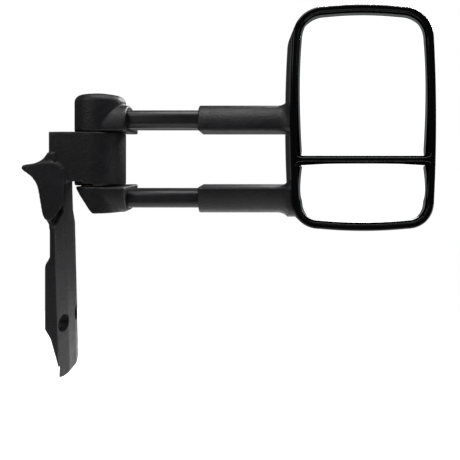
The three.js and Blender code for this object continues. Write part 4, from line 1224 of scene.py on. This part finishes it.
@dataclass
class PivotCaps:
    """The cap over the knuckle and the cap under it, each ending in a socket for its tube."""

    places: Places
    finishes: Finishes
    radius: float = 33.0
    upper_height: float = 51.5
    upper_round: float = 10.0
    lower_height: float = 34.0
    scoop_start: float = 27.0
    scoop_x: float = 1.0
    scoop_fall: float = 14.0
    corner: float = 7.0
    end_round: float = 2.4
    fit: float = 0.15
    play: float = 0.3
    shaft_radius: float = 8.0
    screw_head: tuple[float, float] = (4.3, 2.5)
    screw_hole: tuple[float, float] = (2.15, 9.0)
    voxel: float = 0.9
    smoothing: int = 5
    crease: float = 32.0
    wing: WingSection = field(default_factory=WingSection)
    tube: TubeSection = field(default_factory=TubeSection)

    def drum(self, arm: Arm) -> Surface:
        """The round part: a dome above, a plain drum below."""
        tall = self.upper_height
        bottom = [(TINY_HOLE, 0.0), (self.radius - 1.0, 0.0), (self.radius, 1.0)]
        if arm is Arm.UPPER:
            shoulder = (self.radius - self.upper_round, tall - 3.0 - self.upper_round)
            turn = arc(shoulder, self.upper_round, (0, 78), 12)
            crown = bezier([tuple(turn[-1]), (15.0, tall - 1.4), (8.0, tall), (0.0, tall)], 12)
            profile = np.vstack([bottom, turn, crown[1:], [[TINY_HOLE, tall]]])
        else:
            low = self.lower_height
            profile = np.vstack([bottom, [[self.radius, low]], [[TINY_HOLE, low]]])
        rings = turned(profile)
        rings[..., 0] += self.places.pivot_x
        rings[..., 2] = self.places.flats[arm] + arm.value * rings[..., 2]
        return rings_surface(rings)

    def arm_root(self, arm: Arm) -> Surface:
        """The wing from the fold axis to the cap's end face.

        Its nose grows from the drum's radius to its full reach by a sine, and its end is rounded.
        """
        places = self.places
        start, end, ease = places.pivot_x, places.cap_end, self.end_round
        angle = np.linspace(0.0, math.pi / 2, 6)
        run = np.linspace(start, end - ease, 16)[:-1]
        xs = np.concatenate([run, end - ease * (1 - np.sin(angle))])
        shrink = np.concatenate([np.zeros(len(run)), ease * (1 - np.cos(angle))])
        share = (xs - start) / (end - start)
        front = self.wing.front
        reach = self.radius + (front - self.radius) * np.sin(share * math.pi / 2) - self.play
        base = self.wing.outline()
        section = base - shrink[:, None, None] * normals(base)
        y = section[..., 0]
        section[..., 0] = np.where(y > 0, y * (reach[:, None] / front), y)
        return rings_surface(along_x(places.on_arm(section, arm), xs))

    def lower_side(self) -> Surface:
        """The lower cap's side view as a slab: a diagonal scoop inboard and a round outboard corner."""
        px, x1, top = self.places.pivot_x, self.places.cap_end, self.lower_height
        x0, flat_x, corner = px - self.scoop_start, px + self.scoop_x, self.corner
        knee = px - self.scoop_x * 2
        slope = (knee - 9.0, top - self.scoop_fall)
        side = np.vstack(
            [
                [(x0, -1.0), (x1 + 1.0, -1.0), (x1 + 1.0, top - corner)],
                bezier([(x1, top - corner), (x1, top), (x1 - corner, top)], 8),
                line((x1 - corner, top), (flat_x, top), 4),
                bezier([(flat_x, top), (knee, top), slope], 12),
                line(slope, (x0 - 1.0, -1.0), 4),
            ]
        )
        side[:, 1] = self.places.flats[Arm.LOWER] - side[:, 1]
        return rings_surface(along_y(side, np.array([-80.0, 80.0])))

    def cuts(self, arm: Arm) -> list[Surface]:
        """The tube's socket, the shaft's bore and a stepped hole for each of the two tube screws."""
        places, flat = self.places, self.places.flats[arm]
        section = places.on_arm(self.tube.outline(self.fit), arm)
        socket_xs = np.array([places.tube_start - self.play, places.cap_end + 2.0])
        shaft = Extent.of("pivot_shaft")
        low, high = shaft.low[2] - self.play, shaft.high[2] + self.play
        radius = self.shaft_radius + self.fit
        bore = turned(np.array([[0.1, low], [radius, low], [radius, high], [0.1, high]]), 64)
        bore[..., 0] += places.pivot_x
        cuts = [rings_surface(along_x(section, socket_xs)), rings_surface(bore)]
        for k in (1, 2):
            middle = tuple(Extent.of(f"{arm.label}_tube_screw_{k}").middle[:2])
            for (size, depth), outside, points in ((self.screw_head, 1.0, 32), (self.screw_hole, 0.0, 24)):
                zs = np.array([flat - arm.value * outside, flat + arm.value * depth])
                cuts.append(rings_surface(along_z(arc(middle, size, (0, 360), points), zs)))
        return cuts

    def build(self) -> None:
        """Makes each cap: joined, softened where its parts meet, then bored."""
        for arm in Arm:
            node = f"{arm.label}_pivot_cap"
            piece = make_piece(f"{node}_cover", self.drum(arm))
            combine(piece, [self.arm_root(arm)], Join.UNION)
            if arm is Arm.LOWER:
                combine(piece, [self.lower_side()], Join.INTERSECT)
            soften(piece, self.voxel, self.smoothing)
            combine(piece, self.cuts(arm), Join.DIFFERENCE)
            shade(piece.data, self.crease)
            finish_piece(piece, "arms", self.finishes["textured_plastic"], [node])


@dataclass
class DoorBracket:
    """The bracket: a three-faceted leg with a hooked lip, a neck and the round knuckle."""

    places: Places
    finishes: Finishes
    depth: float = 68.0
    face_x: float = 17.0
    lean: float = 0.0246
    facet_half: float = 12.0
    facet_drop: float = 5.5
    foot_z: float = -104.0
    lip_reach: float = 30.0
    lip_z: float = 165.0
    pad_proud: float = 7.0
    pad_top: float = 40.0
    pad_ramp: float = 12.0
    foot_rise: float = 16.0
    foot_chamfer: float = 3.0
    radius: float = 33.0
    rim_ease: float = 1.2
    knuckle: tuple[float, float] = (141.5, 211.0)
    neck_rise: float = 6.5
    pocket_margin: float = 4.0
    pocket_top: float = 3.25
    pocket_drop: float = 34.0
    pocket_slant: float = 20.0
    collar_proud: float = 2.2
    bolt_radius: float = 11.0
    bolt_y: float = 21.0
    bolt_z: float = -36.0
    slot_place: tuple[float, float] = (24.0, 126.0)
    slot_size: tuple[float, float] = (6.0, 20.0)
    slot_round: float = 2.95
    bush_bore: float = 11.3
    chamber_bore: float = 16.0
    chamber_rise: float = 28.0
    washer_bore: float = 25.3
    washer_sunk: float = 1.2
    past: float = 2.0
    voxel: float = 1.05
    smoothing: int = 6
    crease: float = 30.0

    def side_view(self) -> np.ndarray:
        """The leg's side in (x, z): lip, slanting flange, proud door pad and pointed foot."""
        lip, z, px = self.lip_reach, self.lip_z, self.places.pivot_x
        proud, pad, face = self.pad_proud, self.pad_top, self.face_x
        ramp, foot = pad + self.pad_ramp, self.foot_z
        tip, shoulder, root, flange = 3.0 - lip, (3.0, z + 19.5), (-6.0, z - 29.0), (-1.0, z - 60.0)
        channel = (6.0, z - 72.0)
        return np.vstack(
            [
                line((px, z + 9.0), shoulder, 4),
                bezier([shoulder, (-3.5, z + 5.5), (-7.0 - lip / 2, z + 4.5)], 14),
                line((-7.0 - lip / 2, z + 4.5), (tip, z + 3.5), 3),
                bezier([(tip, z + 3.5), (-lip, z + 3.2), (-lip, z), (-lip, z - 3.0), (tip, z - 3.5)], 8),
                bezier([(tip, z - 3.5), (-12.0, z - 12.0), root], 14),
                line(root, flange, 6),
                line(flange, channel, 3),
                line(channel, (proud, ramp), 6),
                line((proud, ramp), (0.0, pad), 3),
                line((0.0, pad), (0.0, -pad), 6),
                line((0.0, -pad), (proud, -ramp), 3),
                line((proud, -ramp), (face, foot + self.foot_rise), 6),
                line((face, foot + self.foot_rise), (face, foot + self.foot_chamfer), 2),
                line((face, foot + self.foot_chamfer), (face + self.foot_chamfer, foot), 2),
                line((face + self.foot_chamfer, foot), (px, foot), 4),
                line((px, foot), (px, z + 9.0), 6),
            ]
        )

    def facets(self) -> Surface:
        """The leg's section in (x, y), three facets outboard, drifting outboard as z falls."""
        half, middle, face = self.depth / 2, self.facet_half, self.face_x
        edge = face - self.facet_drop
        section = np.array(
            [(-80, -half), (edge, -half), (face, -middle), (face, middle), (edge, half), (-80, half)],
            float,
        )
        rings = along_z(section, np.linspace(self.foot_z - 1.0, self.knuckle[1], 12))
        drift = (self.knuckle[0] - rings[..., 2]) * self.lean
        rings[..., 0] += np.where(rings[..., 0] > 0, drift, 0.0)
        return rings_surface(rings)

    def neck(self) -> Surface:
        """The web from the leg to the knuckle, nearly tangent to its sides."""
        px, r = self.places.pivot_x, self.radius - 0.3
        plan = np.array([(3.0, -30.0), (px, -r), (px, r), (15.0, 27.0), (3.0, 24.0)], float)
        return rings_surface(along_z(plan, np.array([self.knuckle[0] + self.neck_rise, self.knuckle[1]])))

    def drum(self) -> Surface:
        """The knuckle: a cylinder with eased rims."""
        (low, high), ease, radius = self.knuckle, self.rim_ease, self.radius
        lower = [(TINY_HOLE, low), (radius - ease, low), (radius, low + ease)]
        upper = [(radius, high - ease), (radius - ease, high), (TINY_HOLE, high)]
        rings = turned(np.array(lower + upper), 128)
        rings[..., 0] += self.places.pivot_x
        return rings_surface(rings)

    def pocket(self, side: int) -> Surface:
        """A scoop beside the middle facet, from the neck's underside to a slanting floor."""
        near, far = self.facet_half + self.pocket_margin, self.depth / 2 + 1.0
        top, floor = self.knuckle[0] + self.pocket_top, self.knuckle[0] - self.pocket_drop
        deep = floor - self.pocket_slant
        outline = np.array([(near, top), (near, floor), (far, deep), (far, top)], float)
        outline[:, 0] *= side
        return rings_surface(along_x(outline, np.array([8.0, self.places.pivot_x])))

    def collar(self) -> Surface:
        """The raised collar on the glasses' side, from the lip's root down to a slanting tip."""
        side = np.vstack(
            [
                bezier([(-24.0, 165.5), (-12.0, 158.0), (-7.0, 136.0)], 10),
                line((-7.0, 136.0), (-3.0, 112.0), 4),
                bezier([(-3.0, 112.0), (-1.0, 98.0), (6.0, 98.5)], 6),
                line((6.0, 98.5), (12.5, 101.0), 2),
                line((12.5, 101.0), (22.0, 115.0), 3),
                bezier([(22.0, 115.0), (25.0, 119.0), (25.0, 124.0)], 4),
                line((25.0, 124.0), (25.5, 152.0), 4),
                bezier([(25.5, 152.0), (24.5, 166.0), (16.0, 174.0), (3.0, 172.0)], 10),
                line((3.0, 172.0), (-24.0, 169.0), 4),
            ]
        )
        edge = -self.depth / 2
        return rings_surface(along_y(side, np.array([edge - self.collar_proud, edge + 10.0])))

    def bore(self, radius: float, low: float, high: float) -> Surface:
        """A round hole along the fold axis."""
        circle = arc((self.places.pivot_x, 0.0), radius, (0, 360), 72)
        return rings_surface(along_z(circle, np.array([low, high])))

    def bolt_hole(self, y: float) -> Surface:
        """A round hole along X, right through the leg."""
        circle = arc((y, self.bolt_z), self.bolt_radius, (0, 360), 64)
        return rings_surface(along_x(circle, np.array([-40.0, 60.0])))

    def build(self) -> None:
        """Joins leg, neck and knuckle, softens them, and makes the crisp cuts last."""
        (low, high), past, half = self.knuckle, self.past, self.depth / 2
        leg = along_y(self.side_view(), np.array([-half, half]))
        piece = make_piece("door_bracket_casting", rings_surface(leg))
        combine(piece, [self.facets()], Join.INTERSECT)
        combine(piece, [self.neck(), self.drum(), self.collar()], Join.UNION)
        combine(piece, [self.pocket(1), self.pocket(-1)], Join.DIFFERENCE)
        soften(piece, self.voxel, self.smoothing)
        slot = rounded_rectangle(self.slot_place, self.slot_size, self.slot_round, 12, 4)
        cuts = [
            self.bore(self.bush_bore, low - past, high + past),
            self.bore(self.chamber_bore, low + self.chamber_rise, high + past),
            self.bore(self.washer_bore, high - self.washer_sunk, high + past),
            self.bore(self.washer_bore, low - past, low + self.washer_sunk),
            self.bolt_hole(self.bolt_y),
            self.bolt_hole(-self.bolt_y),
            rings_surface(along_x(slot, np.array([-60.0, 58.0]))),
        ]
        combine(piece, cuts, Join.DIFFERENCE)
        shade(piece.data, self.crease)
        finish_piece(
            piece, "bracket", self.finishes["textured_plastic"], ["door_bracket"]
        )


@dataclass
class FoldPivot:
    """The coil spring inside the knuckle."""

    places: Places
    finishes: Finishes
    wire: float = 1.7
    turns: int = 4
    rest: float = 0.04
    path_points: int = 361
    wire_points: int = 20

    def coil(self) -> Surface:
        """A wire along a helix whose first and last parts lie flat.

        The path's angle grows evenly. Its height grows evenly too, but for a short rest at each
        end. The wire's ring at each point is spanned by the radius outwards and the vertical.
        """
        box = Extent.of("fold_spring")
        low, high = box.low[2] + self.wire, box.high[2] - self.wire
        radius = (box.high[1] - box.low[1]) / 2 - self.wire
        t = np.linspace(0.0, 1.0, self.path_points)
        angle = t * self.turns * 2.0 * math.pi
        share = np.clip((t - self.rest) / (1.0 - 2 * self.rest), 0.0, 1.0)
        height = low + (high - low) * share
        turn = np.linspace(0.0, 2.0 * math.pi, self.wire_points, endpoint=False)
        across = radius + self.wire * np.cos(turn)
        x = self.places.pivot_x + across * np.cos(angle)[:, None]
        y = across * np.sin(angle)[:, None]
        z = height[:, None] + self.wire * np.sin(turn)
        return rings_surface(np.dstack([x, y, z]))

    def build(self) -> None:
        """Makes and dresses the spring."""
        piece = make_piece("fold_coil_spring", self.coil())
        finish_piece(piece, "arms", self.finishes["spring_steel"], ["fold_spring"])


# ---------------------------------------------------------------------------------------------
# Pieces kept from the frame
# ---------------------------------------------------------------------------------------------


@dataclass
class InnerParts:
    """The frame's own pieces that stay as they are: each only gets its finish."""

    frame: dict[str, Any]
    finishes: Finishes

    def build(self) -> None:
        """Dresses every node of the frame that is still showing."""
        for name, node in sorted(self.frame["nodes"].items()):
            if node.hide_render:
                continue
            slot = node.data.materials[0].name.split(".")[0]
            node.data.materials[0] = self.finishes[slot]
            LOG.info("%s: kept, %s", name, slot)


# ---------------------------------------------------------------------------------------------
# Studio
# ---------------------------------------------------------------------------------------------


@dataclass(frozen=True)
class SoftLight:
    """One rectangular lamp: where it stands, what it faces, its size in metres and its power."""

    name: str
    place: tuple[float, float, float]
    target: tuple[float, float, float]
    size: tuple[float, float]
    watts: float
    only: tuple[str, ...] = ()

    def build(self) -> None:
        """Makes the lamp, turns it to its target and, where it has a list, lights only those pieces."""
        lamp = bpy.data.lights.new(self.name, "AREA")
        lamp.shape = "RECTANGLE"
        lamp.size, lamp.size_y = self.size
        lamp.energy = self.watts
        holder = bpy.data.objects.new(self.name, lamp)
        holder.location = self.place
        aim = Vector(self.target) - Vector(self.place)
        holder.rotation_euler = aim.to_track_quat("-Z", "Y").to_euler()
        bpy.context.scene.collection.objects.link(holder)
        if self.only:
            lit = bpy.data.collections.new(self.name + "_lights")
            for name in self.only:
                lit.objects.link(bpy.data.objects[name])
            holder.light_linking.receiver_collection = lit


@dataclass(frozen=True)
class Studio:
    """A pale floor, a white background, soft lamps and the camera on the glasses' side."""

    camera_place: tuple[float, float, float] = (0.247, -0.582, 0.171)
    lens: float = 33.92
    shift: tuple[float, float] = (-0.0217, -0.1457)
    floor_z: float = -0.45
    seen: float = 1.0
    glow: float = 0.1
    floor_glow: float = 0.42
    floor_reach: float = 1.3
    floor_thick: float = 0.02
    floor_x: float = 0.25

    def camera(self) -> None:
        """A level camera looking along +Y."""
        data = bpy.data.cameras.new("camera")
        data.lens = self.lens
        data.sensor_width = 36.0
        data.shift_x, data.shift_y = self.shift
        data.clip_end = 50.0
        holder = bpy.data.objects.new("camera", data)
        holder.location = self.camera_place
        holder.rotation_euler = (math.pi / 2, 0.0, 0.0)
        bpy.context.scene.collection.objects.link(holder)
        bpy.context.scene.camera = holder

    def floor(self) -> None:
        """A plain pale floor below the bracket's foot."""
        reach, top = self.floor_reach / MM, self.floor_z / MM
        middle, size = (self.floor_x / MM, 0.0), (2 * reach, 2 * reach)
        corners = rounded_rectangle(middle, size, reach * 0.6, 24, 4)
        rings = along_z(corners, np.array([top - self.floor_thick / MM, top]))
        floor = make_piece("floor", rings_surface(rings))
        material = bpy.data.materials.new("pale_floor")
        material.use_nodes = True
        paint = material.node_tree.nodes["Principled BSDF"]
        paint.inputs["Base Color"].default_value = linear("#f7f7f7")
        paint.inputs["Roughness"].default_value = 0.9
        paint.inputs["Emission Color"].default_value = linear("#ffffff")
        paint.inputs["Emission Strength"].default_value = self.floor_glow
        floor.data.materials.append(material)

    def world(self) -> None:
        """A white surround that is dimmer as a light than it looks."""
        world = bpy.data.worlds.new("studio_white")
        world.use_nodes = True
        tree = world.node_tree
        tree.nodes.clear()
        path = add_node(tree, "LightPath")
        strength = add_node(
            tree,
            "MapRange",
            {"Value": path.outputs["Is Camera Ray"], "To Min": self.glow, "To Max": self.seen},
        )
        glow = add_node(
            tree, "Background", {"Color": linear("#ffffff"), "Strength": strength.outputs["Result"]}
        )
        add_node(tree, "OutputWorld", {"Surface": glow.outputs["Background"]})
        bpy.context.scene.world = world

    def build(self) -> None:
        """Sets the stage."""
        bpy.context.scene.view_settings.view_transform = "Standard"
        self.camera()
        self.floor()
        self.world()
        for lamp in self.lamps():
            lamp.build()

    @staticmethod
    def lamps() -> list[SoftLight]:
        """Softboxes on the left, above and ahead, a low panel on the right and one for the glasses."""
        return [
            SoftLight("left_softbox", (-0.9, -1.0, 0.95), (0.1, 0.0, 0.2), (0.6, 0.6), 10.0),
            SoftLight("top_softbox", (0.3, -0.2, 1.2), (0.25, 0.0, 0.15), (1.3, 0.7), 25.0),
            SoftLight("right_low_panel", (1.25, -0.1, -0.2), (0.0, 0.0, -0.05), (0.7, 0.4), 8.0),
            SoftLight("front_softbox", (1.0, 1.3, 1.1), (0.35, 0.0, 0.2), (0.9, 0.7), 52.0),
            SoftLight("glass_panel", (0.85, -1.7, 0.3), (0.85, 0.0, 0.3), (1.3, 1.7), 8.0, GLASS_PANES),
        ]


# ---------------------------------------------------------------------------------------------
# The whole mirror
# ---------------------------------------------------------------------------------------------


def main() -> None:
    """Builds the mirror's looks around its frame, then the studio."""
    logging.basicConfig(level=logging.INFO, format="%(name)s: %(message)s")
    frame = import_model()
    finishes = Finishes()
    finishes.build()
    places = Places.read()
    for assembly in (
        RearShell(places, finishes),
        Bezel(places, finishes),
        Glasses(places, finishes),
        ExtensionTubes(places, finishes),
        PivotCaps(places, finishes),
        DoorBracket(places, finishes),
        FoldPivot(places, finishes),
        InnerParts(frame, finishes),
    ):
        LOG.info("building %s", type(assembly).__name__)
        assembly.build()
    Studio().build()
    bpy.context.view_layer.update()


if __name__ == "__main__":
    main()
